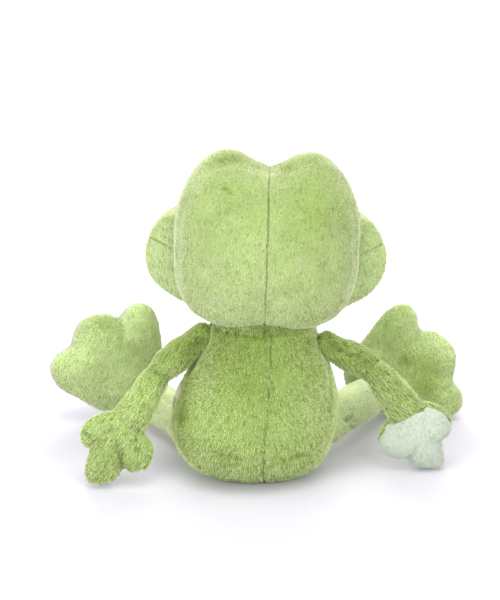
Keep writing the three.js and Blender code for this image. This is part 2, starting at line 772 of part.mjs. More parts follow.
function addLeg(body, name, rest) {
  const { side } = rest;
  const hip = hipOf(rest);
  const thigh = legDirection(side, rest.thigh.out, rest.thigh.rise);
  const shin = legDirection(side, rest.shin.out, rest.shin.rise);
  const bend = thigh.clone().add(shin).normalize();
  const knee = hip.clone().addScaledVector(thigh, thighLength);
  const ankle = knee.clone().addScaledVector(shin, shinLength);
  const crease = new THREE.Vector3().crossVectors(up, bend).normalize();
  const thin = new THREE.Vector3().crossVectors(bend, crease);

  const swing = joint(body, `${name}_hip_swing`, hip, up, thigh);
  add(swing, `${name}_hip_gather`, geometryOf(ball(hip, hipBall, 10)), materials.green);

  const lift = new THREE.Vector3().crossVectors(thigh, up);
  const raise = joint(swing, `${name}_hip_raise`, hip, lift, thigh);
  const seat = socketFor(hip, hipBall, 12);
  const thighForm = sweep(limbPath(hip, thigh, thighLength, bend), thin, rootLimb(legRadius, thighLength));
  add(raise, `${name}_thigh`, geometryOf(solid(thighForm).subtract(seat)), materials.green);

  const kneeJoint = joint(raise, `${name}_knee_bend`, knee, crease, shin);
  const endRadius = roundEndShare * legRadius;
  const shinRows = [
    ...creaseRows(legRadius),
    [0.6 * shinLength, legRadius, legRadius],
    ...roundEndShares.map(([at, wide]) => [shinLength + at * legRadius, wide * legRadius, wide * legRadius]),
  ];
  const shinPath = new THREE.CubicBezierCurve3(
    knee,
    knee.clone().addScaledVector(bend, shinLength / 3),
    ankle.clone().addScaledVector(shin, -shinLength / 3),
    ankle,
  );
  const shinForm = sweep(shinPath, thin, shinRows, shinLength + endRadius);
  add(kneeJoint, `${name}_shin`, shinForm, materials.green);

  const ankleJoint = joint(kneeJoint, `${name}_ankle_tilt`, ankle, new THREE.Vector3().crossVectors(up, shin), shin);
  const [yaw, lean] = [radians(rest.foot.yaw), radians(rest.foot.lean)];
  const sole = new THREE.Vector3(side * Math.sin(yaw) * Math.cos(lean), -Math.cos(yaw) * Math.cos(lean), -Math.sin(lean));
  const across = new THREE.Vector3().crossVectors(up, sole).normalize().multiplyScalar(side);
  const upright = new THREE.Vector3().crossVectors(across, sole).multiplyScalar(side).normalize();
  if (upright.z < 0) upright.negate();
  const out = radians(rest.foot.out);
  const toes = upright.clone().multiplyScalar(Math.cos(out)).addScaledVector(across, Math.sin(out));
  const aside = across.clone().multiplyScalar(Math.cos(out)).addScaledVector(upright, -Math.sin(out));
  const topHeight = footThickness / 2 - ankleSink + endRadius;
  const heel = ankle.clone()
    .addScaledVector(sole, topHeight)
    .addScaledVector(across, ankleInset)
    .addScaledVector(upright, ankleDrop);
  const instep = new THREE.Vector3().crossVectors(aside, toes);
  const soleWay = Math.sign(instep.dot(sole));
  const frame = new THREE.Matrix4().makeBasis(aside, toes, instep).setPosition(heel);
  const middle = new THREE.Vector3(0, footMiddleShare * footLength, 0);
  const outline = pressed(outlineOf(footShares, footLength), middle, frame);
  const socket = socketFor(ankle, endRadius, 16);
  const top = halfPillow(outline, middle, footThickness, -soleWay).applyMatrix4(frame);
  add(ankleJoint, `${name}_foot_top`, geometryOf(solid(top).subtract(socket)), materials.green);
  const under = halfPillow(outline, middle, footThickness, soleWay).applyMatrix4(frame);
  add(ankleJoint, `${name}_foot_sole`, geometryOf(solid(under)), materials.mint);
}

const frog = new THREE.Group();
frog.name = "torso";
const seats = Object.values(pose).flatMap((rest) => [
  socketFor(shoulderOf(rest), shoulderBall, 12),
  socketFor(hipOf(rest), hipBall, 12),
]);
addTorso(frog, seats);
const neck = joint(frog, "neck_turn", rim, up, sideways);
add(neck, "neck", neckDome(), materials.green);
const head = joint(neck, "neck_nod", neckCentre, sideways, up);
addHead(head);
for (const [name, rest] of Object.entries(pose)) {
  addArm(frog, name, rest);
  addLeg(frog, name, rest);
}

export default frog;
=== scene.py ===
import json
import math
from typing import NamedTuple

import bpy
import numpy as np
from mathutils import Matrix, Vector
from mathutils.bvhtree import BVHTree
from mathutils.kdtree import KDTree


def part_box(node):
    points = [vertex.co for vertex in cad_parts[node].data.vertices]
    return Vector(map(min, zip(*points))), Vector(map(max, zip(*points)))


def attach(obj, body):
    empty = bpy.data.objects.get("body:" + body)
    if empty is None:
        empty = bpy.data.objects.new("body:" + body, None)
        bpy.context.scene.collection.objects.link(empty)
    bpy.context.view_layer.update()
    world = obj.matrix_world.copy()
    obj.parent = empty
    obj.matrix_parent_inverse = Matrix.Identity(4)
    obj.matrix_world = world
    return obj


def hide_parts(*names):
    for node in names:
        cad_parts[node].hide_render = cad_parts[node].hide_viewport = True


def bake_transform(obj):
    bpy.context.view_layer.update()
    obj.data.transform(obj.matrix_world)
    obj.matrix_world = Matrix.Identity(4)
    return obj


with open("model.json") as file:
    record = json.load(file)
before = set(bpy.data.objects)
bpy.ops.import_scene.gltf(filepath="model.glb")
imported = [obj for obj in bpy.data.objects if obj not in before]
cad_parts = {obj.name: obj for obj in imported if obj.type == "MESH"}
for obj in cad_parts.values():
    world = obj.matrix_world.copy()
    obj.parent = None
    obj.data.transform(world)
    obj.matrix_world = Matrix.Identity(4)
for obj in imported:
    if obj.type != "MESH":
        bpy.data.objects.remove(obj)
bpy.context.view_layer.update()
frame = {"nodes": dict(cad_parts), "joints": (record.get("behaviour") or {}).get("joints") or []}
MM = 0.001
DOWN = np.array([0.0, 0.0, -1.0])
# Each side of the frog, and which way along x it lies
SIDES = {"left": 1, "right": -1}

hinge = {j["name"]: np.array(j["pos_m"]) for j in frame["joints"]}


# ---------------------------------------------------------------- camera

# The photograph is taken from behind, a little above, with a long lens. Its middle pixel and
# what one pixel and its whole height show at the frog:
MIDDLE_ACROSS, MIDDLE_DOWN = 250, 300
PIXEL = 0.5 * MM
VIEW_HEIGHT = 0.3
SENSOR = 36
aim = Vector((6.5, 0, 92.6)) * MM
rise, distance = math.radians(16), 1.3
camera_place = aim + distance * Vector((0, math.cos(rise), math.sin(rise)))
camera = bpy.data.objects.new("camera", bpy.data.cameras.new("camera"))
bpy.context.scene.collection.objects.link(camera)
camera.data.sensor_width, camera.data.lens = SENSOR, SENSOR * distance / VIEW_HEIGHT
camera.location = camera_place
camera.rotation_euler = (aim - camera_place).to_track_quat("-Z", "Y").to_euler()
bpy.context.scene.camera = camera


def sight_line(across, down):
    """The direction from the camera through a pixel of the photograph."""
    right, up = Vector((-1, 0, 0)), Vector((0, -math.sin(rise), math.cos(rise)))
    spot = aim + (right * (across - MIDDLE_ACROSS) - up * (down - MIDDLE_DOWN)) * PIXEL
    return (spot - camera_place).normalized()


# ---------------------------------------------------------------- materials


def linear(hex_colour):
    """An sRGB hex colour as linear RGBA."""
    parts = [int(hex_colour[i : i + 2], 16) / 255 for i in (1, 3, 5)]
    return (*(c / 12.92 if c <= 0.04045 else ((c + 0.055) / 1.055) ** 2.4 for c in parts), 1.0)


def node(material, kind, settings=None, inputs=None, links=None):
    """Adds a node with its settings, its socket values and what feeds it: a socket, or a node
    by its first output."""
    made = material.node_tree.nodes.new(kind)
    for name, value in (settings or {}).items():
        setattr(made, name, value)
    for name, value in (inputs or {}).items():
        made.inputs[name].default_value = value
    for name, source in (links or {}).items():
        output = source if isinstance(source, bpy.types.NodeSocket) else source.outputs[0]
        material.node_tree.links.new(output, made.inputs[name])
    return made


# The colour sockets of a Mix node: two that go in, and one that comes out
COLOUR_A, COLOUR_B, MIXED = 6, 7, 2
COLOURS = {"data_type": "RGBA"}

# How wide the patches are that handling brushes into the pile
PATCH_MM = 14


def blank(name):
    """A material that has no nodes yet."""
    material = bpy.data.materials.new(name)
    material.use_nodes = True
    material.node_tree.nodes.clear()
    return material


def knitted_plush(name, root, fibre, tip, glow="#c6dd88", saturation_where_lit=0.85):
    """Cut polyester pile on a knitted back, dyed in the piece: painted shade low between the
    fibres, paler at their cut tips, with brushed patches, painted light and shade from the tone the
    pile carries, painted shade in the seams' hollows, and a soft sheen where light grazes the pile."""
    material = blank(name)
    pile = node(material, "ShaderNodeAttribute", {"attribute_name": "pile"})
    parts = node(material, "ShaderNodeSeparateColor", links={0: pile.outputs["Color"]})
    height, chance, near_seam = parts.outputs
    # the alpha is the tone: painted light and shade
    tone = pile.outputs["Alpha"]
    # a fibre is painted paler up its height, out of the painted shade deep in the pile, and more or
    # less so by chance
    by_chance = node(
        material, "ShaderNodeMath", {"operation": "MULTIPLY"}, {1: 0.36}, {0: chance}
    )
    level = node(
        material,
        "ShaderNodeMath",
        {"operation": "MULTIPLY_ADD"},
        {1: 0.66},
        {0: height, 2: by_chance},
    )
    dyed = node(
        material,
        "ShaderNodeMix",
        COLOURS,
        {COLOUR_A: linear(root), COLOUR_B: linear(fibre)},
        {0: level},
    )
    cut = node(
        material,
        "ShaderNodeMapRange",
        inputs={"From Min": 0.4, "From Max": 1.0},
        links={"Value": level},
    )
    strand = node(
        material,
        "ShaderNodeMix",
        COLOURS,
        {COLOUR_B: linear(tip)},
        {0: cut, COLOUR_A: dyed.outputs[MIXED]},
    )
    place = node(material, "ShaderNodeTexCoord").outputs["Object"]
    patches = node(
        material,
        "ShaderNodeTexNoise",
        inputs={"Scale": 1000 / PATCH_MM, "Detail": 2.0, "Roughness": 0.5},
        links={"Vector": place},
    )
    value = node(
        material,
        "ShaderNodeMapRange",
        inputs={"From Min": 0.3, "From Max": 0.7, "To Min": 0.93, "To Max": 1.03},
        links={"Value": patches},
    )
    # painted shade in the seams' hollows, up to a fifth darker
    seam = node(
        material,
        "ShaderNodeMapRange",
        inputs={"To Min": 1.0, "To Max": 0.8},
        links={"Value": near_seam},
    )
    for factor in (seam, tone):
        value = node(
            material, "ShaderNodeMath", {"operation": "MULTIPLY"}, links={0: value, 1: factor}
        )
    # where the tone paints shade the dye is painted more saturated, and where it paints light, less
    # so
    depth = node(
        material,
        "ShaderNodeMapRange",
        inputs={"From Min": 0.75, "From Max": 1.25, "To Min": 1.22, "To Max": saturation_where_lit},
        links={"Value": tone},
    )
    colour = node(
        material,
        "ShaderNodeHueSaturation",
        links={"Color": strand.outputs[MIXED], "Value": value, "Saturation": depth},
    )
    plush = node(
        material,
        "ShaderNodeBsdfPrincipled",
        inputs={
            "Roughness": 0.9,
            "Specular IOR Level": 0.2,
            "Sheen Weight": 0.3,
            "Sheen Roughness": 0.32,
            "Sheen Tint": linear(glow),
        },
        links={"Base Color": colour},
    )
    node(material, "ShaderNodeOutputMaterial", links={"Surface": plush})
    return material


GREEN = knitted_plush("green_short_plush", "#6c8a39", "#c5d58b", "#e3eab8", saturation_where_lit=1.0)
# painted light: the legs' and feet's pile is the torso's green cloth with its colours painted
# lighter
GREEN_PAINTED_LIT = knitted_plush("green_short_plush_painted_lit", "#9cb566", "#d8e3a3", "#e0e7b9")
GREEN_PAINTED_LIT_MORE = knitted_plush("green_short_plush_painted_lit_more", "#b2c781", "#e4edb6", "#e9efc4")
HEAD_GREEN = knitted_plush("green_smooth_plush", "#7f9a4a", "#d0d9a0", "#e4e9c2")
MINT = knitted_plush("mint_short_plush", "#b9c5b0", "#cad2c2", "#d9ded2", glow="#dde4d8")


def polyester_filling(name, fibre_mm=1.2):
    """Crimped polyester fibre, carded into a wad: matt white, with fine strands every way."""
    material = blank(name)
    place = node(material, "ShaderNodeTexCoord").outputs["Object"]
    fibres = node(
        material,
        "ShaderNodeTexNoise",
        inputs={"Scale": 1000 / fibre_mm, "Detail": 6.0, "Roughness": 0.7, "Distortion": 2.0},
        links={"Vector": place},
    )
    colour = node(
        material,
        "ShaderNodeMix",
        COLOURS,
        {COLOUR_A: linear("#dcdad2"), COLOUR_B: linear("#fbfaf6")},
        {0: fibres},
    )
    bump = node(
        material,
        "ShaderNodeBump",
        inputs={"Strength": 0.6, "Distance": 0.4 * MM},
        links={"Height": fibres},
    )
    wad = node(
        material,
        "ShaderNodeBsdfPrincipled",
        inputs={"Roughness": 1.0, "Specular IOR Level": 0.1, "Sheen Weight": 0.4},
        links={"Base Color": colour.outputs[MIXED], "Normal": bump},
    )
    node(material, "ShaderNodeOutputMaterial", links={"Surface": wad})
    return material


# A wave texture at a scale of 1 has 20 radians to the metre. The threads of both cloths are
# drawn about six times as coarse as they are, so that they show.
WAVE = 20


def pellet_cloth(name, pellet_mm=3.0, thread_mm=0.6):
    """Plain-woven cotton bag, tight over plastic pellets that press through it."""
    material = blank(name)
    place = node(material, "ShaderNodeTexCoord").outputs["Object"]
    pellets = node(
        material,
        "ShaderNodeTexVoronoi",
        inputs={"Scale": 1000 / pellet_mm},
        links={"Vector": place},
    )
    threads = node(
        material,
        "ShaderNodeTexWave",
        inputs={"Scale": 1000 / thread_mm / WAVE, "Distortion": 0.6},
        links={"Vector": place},
    )
    colour = node(
        material,
        "ShaderNodeMix",
        COLOURS,
        {COLOUR_A: linear("#cfc7b4"), COLOUR_B: linear("#e8e2d3")},
        {0: threads.outputs["Fac"]},
    )
    bump = node(
        material,
        "ShaderNodeBump",
        {"invert": True},
        {"Strength": 0.8, "Distance": 0.6 * MM},
        {"Height": pellets.outputs["Distance"]},
    )
    cotton = node(
        material,
        "ShaderNodeBsdfPrincipled",
        inputs={"Roughness": 0.85},
        links={"Base Color": colour.outputs[MIXED], "Normal": bump},
    )
    node(material, "ShaderNodeOutputMaterial", links={"Surface": cotton})
    return material


def moulded_plastic(name, colour, worn, roughness, grain_mm):
    """Injection-moulded plastic: even colour, with a faint ripple that breaks up the gloss."""
    material = blank(name)
    place = node(material, "ShaderNodeTexCoord").outputs["Object"]
    grain = node(
        material,
        "ShaderNodeTexNoise",
        inputs={"Scale": 1000 / grain_mm, "Detail": 3.0},
        links={"Vector": place},
    )
    shade = node(
        material,
        "ShaderNodeMix",
        COLOURS,
        {COLOUR_A: linear(colour), COLOUR_B: linear(worn)},
        {0: grain},
    )
    bump = node(
        material,
        "ShaderNodeBump",
        inputs={"Strength": 0.05, "Distance": 0.1 * MM},
        links={"Height": grain},
    )
    plastic = node(
        material,
        "ShaderNodeBsdfPrincipled",
        inputs={"Roughness": roughness, "IOR": 1.49},
        links={"Base Color": shade.outputs[MIXED], "Normal": bump},
    )
    node(material, "ShaderNodeOutputMaterial", links={"Surface": plastic})
    return material


def satin_ribbon(name, dyed, plain, edge, thread_mm=0.35):
    """Satin-woven ribbon, dyed up to a level: fine bright threads across it."""
    material = blank(name)
    place = node(material, "ShaderNodeTexCoord").outputs["Object"]
    height = node(material, "ShaderNodeSeparateXYZ", links={"Vector": place}).outputs["Z"]
    band = node(
        material,
        "ShaderNodeMapRange",
        inputs={"From Min": edge - 0.3 * MM, "From Max": edge + 0.3 * MM},
        links={"Value": height},
    )
    colour = node(
        material,
        "ShaderNodeMix",
        COLOURS,
        {COLOUR_A: linear(dyed), COLOUR_B: linear(plain)},
        {0: band},
    )
    threads = node(
        material,
        "ShaderNodeTexWave",
        {"bands_direction": "Z"},
        {"Scale": 1000 / thread_mm / WAVE, "Distortion": 0.4},
        {"Vector": place},
    )
    bump = node(
        material,
        "ShaderNodeBump",
        inputs={"Strength": 0.4, "Distance": 0.05 * MM},
        links={"Height": threads.outputs["Fac"]},
    )
    satin = node(
        material,
        "ShaderNodeBsdfPrincipled",
        inputs={"Roughness": 0.38, "Sheen Weight": 0.2},
        links={"Base Color": colour.outputs[MIXED], "Normal": bump},
    )
    node(material, "ShaderNodeOutputMaterial", links={"Surface": satin})
    return material


FILLING = polyester_filling("polyester_filling")
PELLET_BAG = pellet_cloth("cotton_bag_over_pellets")
EYE_BLACK = moulded_plastic("black_acrylic_eye", "#0b0b0c", "#131315", 0.08, 3.0)
WASHER_WHITE = moulded_plastic("white_polypropylene_washer", "#ecece8", "#f4f4f1", 0.5, 1.5)


# ---------------------------------------------------------------- cloth forms

# Cloth and pile stay this far above the table
CLOTH_OVER_TABLE = 0.2 * MM
PILE_OVER_TABLE = 0.1 * MM


def ripple(points, size, seed):
    """A smooth, seeded unevenness between -1 and 1, whose waves are about `size` long."""
    waves, highest = 7, 4.2  # seven waves hardly ever add up to more
    dice = np.random.default_rng(seed)
    total = np.zeros(len(points))
    for _ in range(waves):
        way = dice.normal(size=3)
        way *= 2 * math.pi / size * dice.uniform(0.6, 1.5) / np.linalg.norm(way)
        total += np.sin(points @ way + dice.uniform(0, 2 * math.pi))
    return total / highest


def tube(path, radii):
    """A closed, round-ended tube through some points, as (points, triangles)."""
    rings_between, rings_of_end, sides = 6, 6, 20
    path = np.array(path, float)
    fine, wide = [], []
    for i in range(len(path) - 1):
        before, after = path[max(i - 1, 0)], path[min(i + 2, len(path) - 1)]
        for t in np.linspace(0, 1, rings_between, endpoint=False):
            a, b = path[i], path[i + 1]
            ta, tb = (b - before) / 2, (after - a) / 2
            fine.append(
                (2 * t**3 - 3 * t**2 + 1) * a + (t**3 - 2 * t**2 + t) * ta
                + (3 * t**2 - 2 * t**3) * b + (t**3 - t**2) * tb
            )
            wide.append(radii[i] + (radii[i + 1] - radii[i]) * t * t * (3 - 2 * t))
    fine, wide = np.array([*fine, path[-1]]), np.array([*wide, radii[-1]])
    along = np.gradient(fine, axis=0)
    along /= np.linalg.norm(along, axis=1, keepdims=True)
    side = np.cross(along, [0.0, 0.0, 1.0])
    side /= np.linalg.norm(side, axis=1, keepdims=True)
    over = np.cross(side, along)
    turn = np.linspace(0, 2 * math.pi, sides, endpoint=False)

    def cap(end, angles):
        for angle in np.radians(angles):
            centre = fine[end] + along[end] * wide[end] * math.sin(angle)
            yield centre, max(wide[end] * math.cos(angle), 1e-5), end

    rings = [
        *cap(0, np.linspace(-90, -15, rings_of_end)),
        *((fine[i], wide[i], i) for i in range(len(fine))),
        *cap(-1, np.linspace(15, 90, rings_of_end)),
    ]
    points = np.concatenate([
        centre + width * (np.outer(np.cos(turn), side[i]) + np.outer(np.sin(turn), over[i]))
        for centre, width, i in rings
    ])
    faces = []
    for ring in range(len(rings) - 1):
        for step in range(sides):
            a, b = ring * sides + step, ring * sides + (step + 1) % sides
            faces += [[a, b, b + sides], [a, b + sides, a + sides]]
    lid = len(points) - sides
    faces += [[0, i + 1, i] for i in range(1, sides - 1)]
    faces += [[lid, lid + i, lid + i + 1] for i in range(1, sides - 1)]
    return points, np.array(faces)


def node_surface(name):
    """A CAD node's own surface, as (points, triangles)."""
    mesh = frame["nodes"][name].data
    mesh.calc_loop_triangles()
    points = np.empty(len(mesh.vertices) * 3)
    mesh.vertices.foreach_get("co", points)
    faces = np.empty(len(mesh.loop_triangles) * 3, int)
    mesh.loop_triangles.foreach_get("vertices", faces)
    return points.reshape(-1, 3), faces.reshape(-1, 3)


def normals_of(points, faces):
    """The outward direction at each point of a skin of four-sided faces."""
    a, b, c, d = (points[faces[:, i]] for i in range(4))
    face = np.cross(c - a, d - b)
    normals = np.stack(
        [
            sum(np.bincount(faces[:, i], face[:, axis], len(points)) for i in range(4))
            for axis in range(3)
        ],
        1,
    )
    return normals / np.maximum(np.linalg.norm(normals, axis=1, keepdims=True), 1e-12)


def edges_of(faces):
    """The sides of the four-sided faces."""
    return np.concatenate([faces[:, [i, (i + 1) % 4]] for i in range(4)])


def relaxed(points, faces, rounds):
    """Evens out the points, as cloth under tension does."""
    edges = edges_of(faces)
    count = np.bincount(edges.ravel(), minlength=len(points))[:, None]
    for _ in range(rounds):
        total = np.stack(
            [
                np.bincount(edges[:, 0], points[edges[:, 1], axis], len(points))
                + np.bincount(edges[:, 1], points[edges[:, 0], axis], len(points))
                for axis in range(3)
            ],
            1,
        )
        points = points + 0.5 * (total / count - points)
    return points


def outer_skin(points, faces):
    """Only the largest closed skin, without what is shut inside it."""
    label = np.arange(len(points))
    while True:
        lowest = label[faces].min(1)
        fresh = label.copy()
        for i in range(4):
            np.minimum.at(fresh, faces[:, i], lowest)
        fresh = fresh[fresh]
        if (fresh == label).all():
            break
        label = fresh
    biggest = max(np.unique(label), key=lambda skin: np.ptp(points[label == skin], axis=0).prod())
    kept = label == biggest
    number = np.cumsum(kept) - 1
    return points[kept], number[faces[kept[faces[:, 0]]]]


def off_line(points, a, b):
    """How far the points are from the line between two places."""
    along = np.clip((points - a) @ (b - a) / max((b - a) @ (b - a), 1e-12), 0, 1)
    return np.linalg.norm(points - a - along[:, None] * (b - a), axis=1)


class Form:
    """The outer shape of some CAD nodes sewn together: an even skin, and each node's own surface,
    which says whose cloth a point lies on and how far off the next seam is. The skin's faces are
    as wide as the grid, and it is evened out for some rounds. Other nodes and stuffed tubes fill
    it."""

    def __init__(self, nodes, grid, rounds, filled_by=(), stuffed=()):
        self.nodes = list(nodes)
        self.laps = []
        shells = [node_surface(n) for n in [*nodes, *filled_by]] + list(stuffed)
        self.trees = [
            BVHTree.FromPolygons(p.tolist(), f.tolist()) for p, f in shells[: len(nodes)]
        ]
        starts = np.cumsum([0] + [len(p) for p, _ in shells])
        mesh = bpy.data.meshes.new("form")
        mesh.from_pydata(
            np.concatenate([p for p, _ in shells]).tolist(),
            [],
            np.concatenate([f + s for (_, f), s in zip(shells, starts)]).tolist(),
        )
        body = bpy.data.objects.new("form", mesh)
        bpy.context.scene.collection.objects.link(body)
        evened = body.modifiers.new("evened", "REMESH")
        evened.mode, evened.voxel_size = "VOXEL", grid
        made = body.evaluated_get(bpy.context.evaluated_depsgraph_get()).to_mesh()
        points = np.empty(len(made.vertices) * 3)
        made.vertices.foreach_get("co", points)
        faces = np.empty(len(made.polygons) * 4, int)
        made.polygons.foreach_get("vertices", faces)
        points, faces = outer_skin(points.reshape(-1, 3), faces.reshape(-1, 4))
        bpy.data.objects.remove(body)
        bpy.data.meshes.remove(mesh)
        self.faces = faces
        self.points = relaxed(points, faces, rounds)
        self.measure()

    def measure(self):
        """Finds the skin's normals, whose cloth each point is, and how far off its seam."""
        self.normals = normals_of(self.points, self.faces)
        self.owner, self.seam = self.cloth_at(self.points)

    def cloth_at(self, points):
        """For each point: the number of the node whose cloth it lies on, and its distance
        from the seam."""
        away = np.array(
            [[tree.find_nearest(p)[3] for tree in self.trees] for p in points.tolist()]
        )
        for number, place, reach, width in self.laps:
            off = np.linalg.norm(points - place, axis=1)
            away[:, number] += width * np.exp(-((off / reach) ** 4))
        if len(self.trees) == 1:
            no_seam_near = np.full(len(points), 1.0)
            return away.argmin(1), no_seam_near
        order = np.sort(away, axis=1)
        return away.argmin(1), order[:, 1] - order[:, 0]

    def press(self, depth):
        """Moves the skin inwards by a depth for each point, and keeps it above the table."""
        self.points = self.points - self.normals * depth[:, None]
        self.points[:, 2] = np.maximum(self.points[:, 2], CLOTH_OVER_TABLE)
        self.normals = normals_of(self.points, self.faces)

    def sew(self, depth, width):
        """Draws the cloth in along the seams between nodes."""
        self.press(depth * np.exp(-((self.seam / width) ** 2)))

    def dart(self, pixels, width, depth):
        """A stitched line, fold or hollow through places that the photograph shows, in mm."""
        spots = [self.seen_at(*place) for place in pixels]
        away = np.min([off_line(self.points, a, b) for a, b in zip(spots, spots[1:])], axis=0)
        self.press(depth * MM * np.exp(-((away / (width * MM)) ** 2)))

    def lap(self, name, pixel, reach, width):
        """Draws the neighbours' cloth over the edge of a node's cloth at one place, in mm."""
        self.laps.append((self.nodes.index(name), self.seen_at(*pixel), reach * MM, width * MM))
        self.measure()

    def seen_at(self, across, down):
        """The point of the skin under a pixel of the photograph, or the nearest one to it."""
        tree = BVHTree.FromPolygons(self.points.tolist(), self.faces.tolist())
        way = sight_line(across, down)
        hit = tree.ray_cast(camera_place, way)[0]
        if hit is None:
            off = self.points - np.array(camera_place)
            along = off @ np.array(way)
            away = np.linalg.norm(off - along[:, None] * np.array(way), axis=1)
            return self.points[away.argmin()]
        return np.array(hit)


# ---------------------------------------------------------------- cloth and pile


class Pile(NamedTuple):
    """How the tufts of a cloth's pile stand."""

    length: float  # mm
    width: float  # mm, at the root
    per_mm2: float
    lift: float  # how far they stand up from the cloth, in radians
    seam_shows: float = 1.0  # less where the pile hides its seams
    cling: float = 0.6  # how far a tip bends over to its lock
    leaders: float = 0.2  # the share of tufts that others cling to
    # a lock that lies flat is painted dark: its dye, and painted shade as in the gaps between locks
    parted: float = 0.25  # how dark the pile is where a lock lies flat


# What cloth and tufts carry at each point for their colour, in this order; the tone is painted
# light and shade
HEIGHT, CHANCE, NEAR_SEAM, TONE = range(4)
# No pile is brighter than this times its dye
BRIGHTEST = 1.42
# How far off a seam its hollow still shades the pile, and how near it the stitches leave none
SEAM_SHADE, STITCHED = 0.9 * MM, 0.22 * MM
# Nearer to the table than this, the pile is pressed flat
PRESSED_BY_TABLE = 0.35 * MM
CLOTH_THICKNESS = 1.1 * MM


def towards(direction):
    """A nap that runs one way all over."""
    direction = np.array(direction, float)
    return lambda points: np.tile(direction / np.linalg.norm(direction), (len(points), 1))


def swirled(nap, size, turn, seed, strokes=()):
    """The same nap, brushed to either side in patches. A stroke turns it at one place: the place,
    how far it reaches in mm, and the turn in radians."""

    def brushed(points, normals):
        way = nap(points)
        way = way - normals * (way * normals).sum(1, keepdims=True)
        way /= np.maximum(np.linalg.norm(way, axis=1, keepdims=True), 1e-9)
        angle = (turn * ripple(points, size, seed))[:, None]
        for place, reach, bend in strokes:
            away = np.linalg.norm(points - place, axis=1, keepdims=True)
            angle = angle + bend * np.exp(-((away / (reach * MM)) ** 4))
        return way * np.cos(angle) + np.cross(normals, way) * np.sin(angle)

    return brushed


def in_locks(tips, axis, dice, leaders):
    """How far each tuft's tip is from the lock that it clings to, and a tone that varies from lock
    to lock. The locks are longer along the nap's axis."""
    squeezed, held_back = 0.55, 0.7
    by_lock, by_tuft = 0.7, 0.3
    short = tips - squeezed * np.outer(tips @ axis, axis)
    middles = np.flatnonzero(dice.random(len(tips)) < leaders)
    tree = KDTree(len(middles))
    for number, place in enumerate(short[middles]):
        tree.insert(place, number)
    tree.balance()
    nearest = np.array([tree.find(place)[1] for place in short])
    shift = tips[middles[nearest]] - tips
    shift -= held_back * np.outer(shift @ axis, axis)
    tone = by_lock * dice.random(len(middles))[nearest] + by_tuft * dice.random(len(tips))
    return shift, tone


def even(points):
    """A tone of 1 all over: no painted light or shade."""
    return np.ones(len(points))


def clean(points):
    """The tone of a hand's pale cloth."""
    return np.full(len(points), 1.05)


def painted_rim_light(normals):
    """Painted rim light: how far the pile is painted paler where the cloth turns from the back to
    the front, with its fibres painted more alike there."""
    return (1 - np.abs(normals[:, 1])) ** 2.5


def rim_brightened(tone, rim_lit):
    """The tone with the painted rim light added, held below the brightest."""
    return np.minimum(tone * (1 + 0.3 * rim_lit), BRIGHTEST)


def roots_on(form, owners, per_mm2, dice):
    """Scattered places on the cloth of some nodes, and the normals there."""
    corners = form.points[form.faces]
    area = np.linalg.norm(
        np.cross(corners[:, 2] - corners[:, 0], corners[:, 3] - corners[:, 1]), axis=1
    ) / 2
    near = np.isin(form.owner[form.faces], owners).any(1)
    wanted = np.where(near, area / MM**2 * per_mm2, 0)
    count = (wanted + dice.random(len(wanted))).astype(int)
    chosen = np.repeat(np.arange(len(count)), count)
    u, v = dice.random((2, len(chosen), 1))
    weights = ((1 - u) * (1 - v), u * (1 - v), u * v, (1 - u) * v)
    quads = form.faces[chosen]
    root = sum(w * form.points[quads[:, i]] for i, w in enumerate(weights))
    normal = sum(w * form.normals[quads[:, i]] for i, w in enumerate(weights))
    return root, normal / np.maximum(np.linalg.norm(normal, axis=1, keepdims=True), 1e-9)


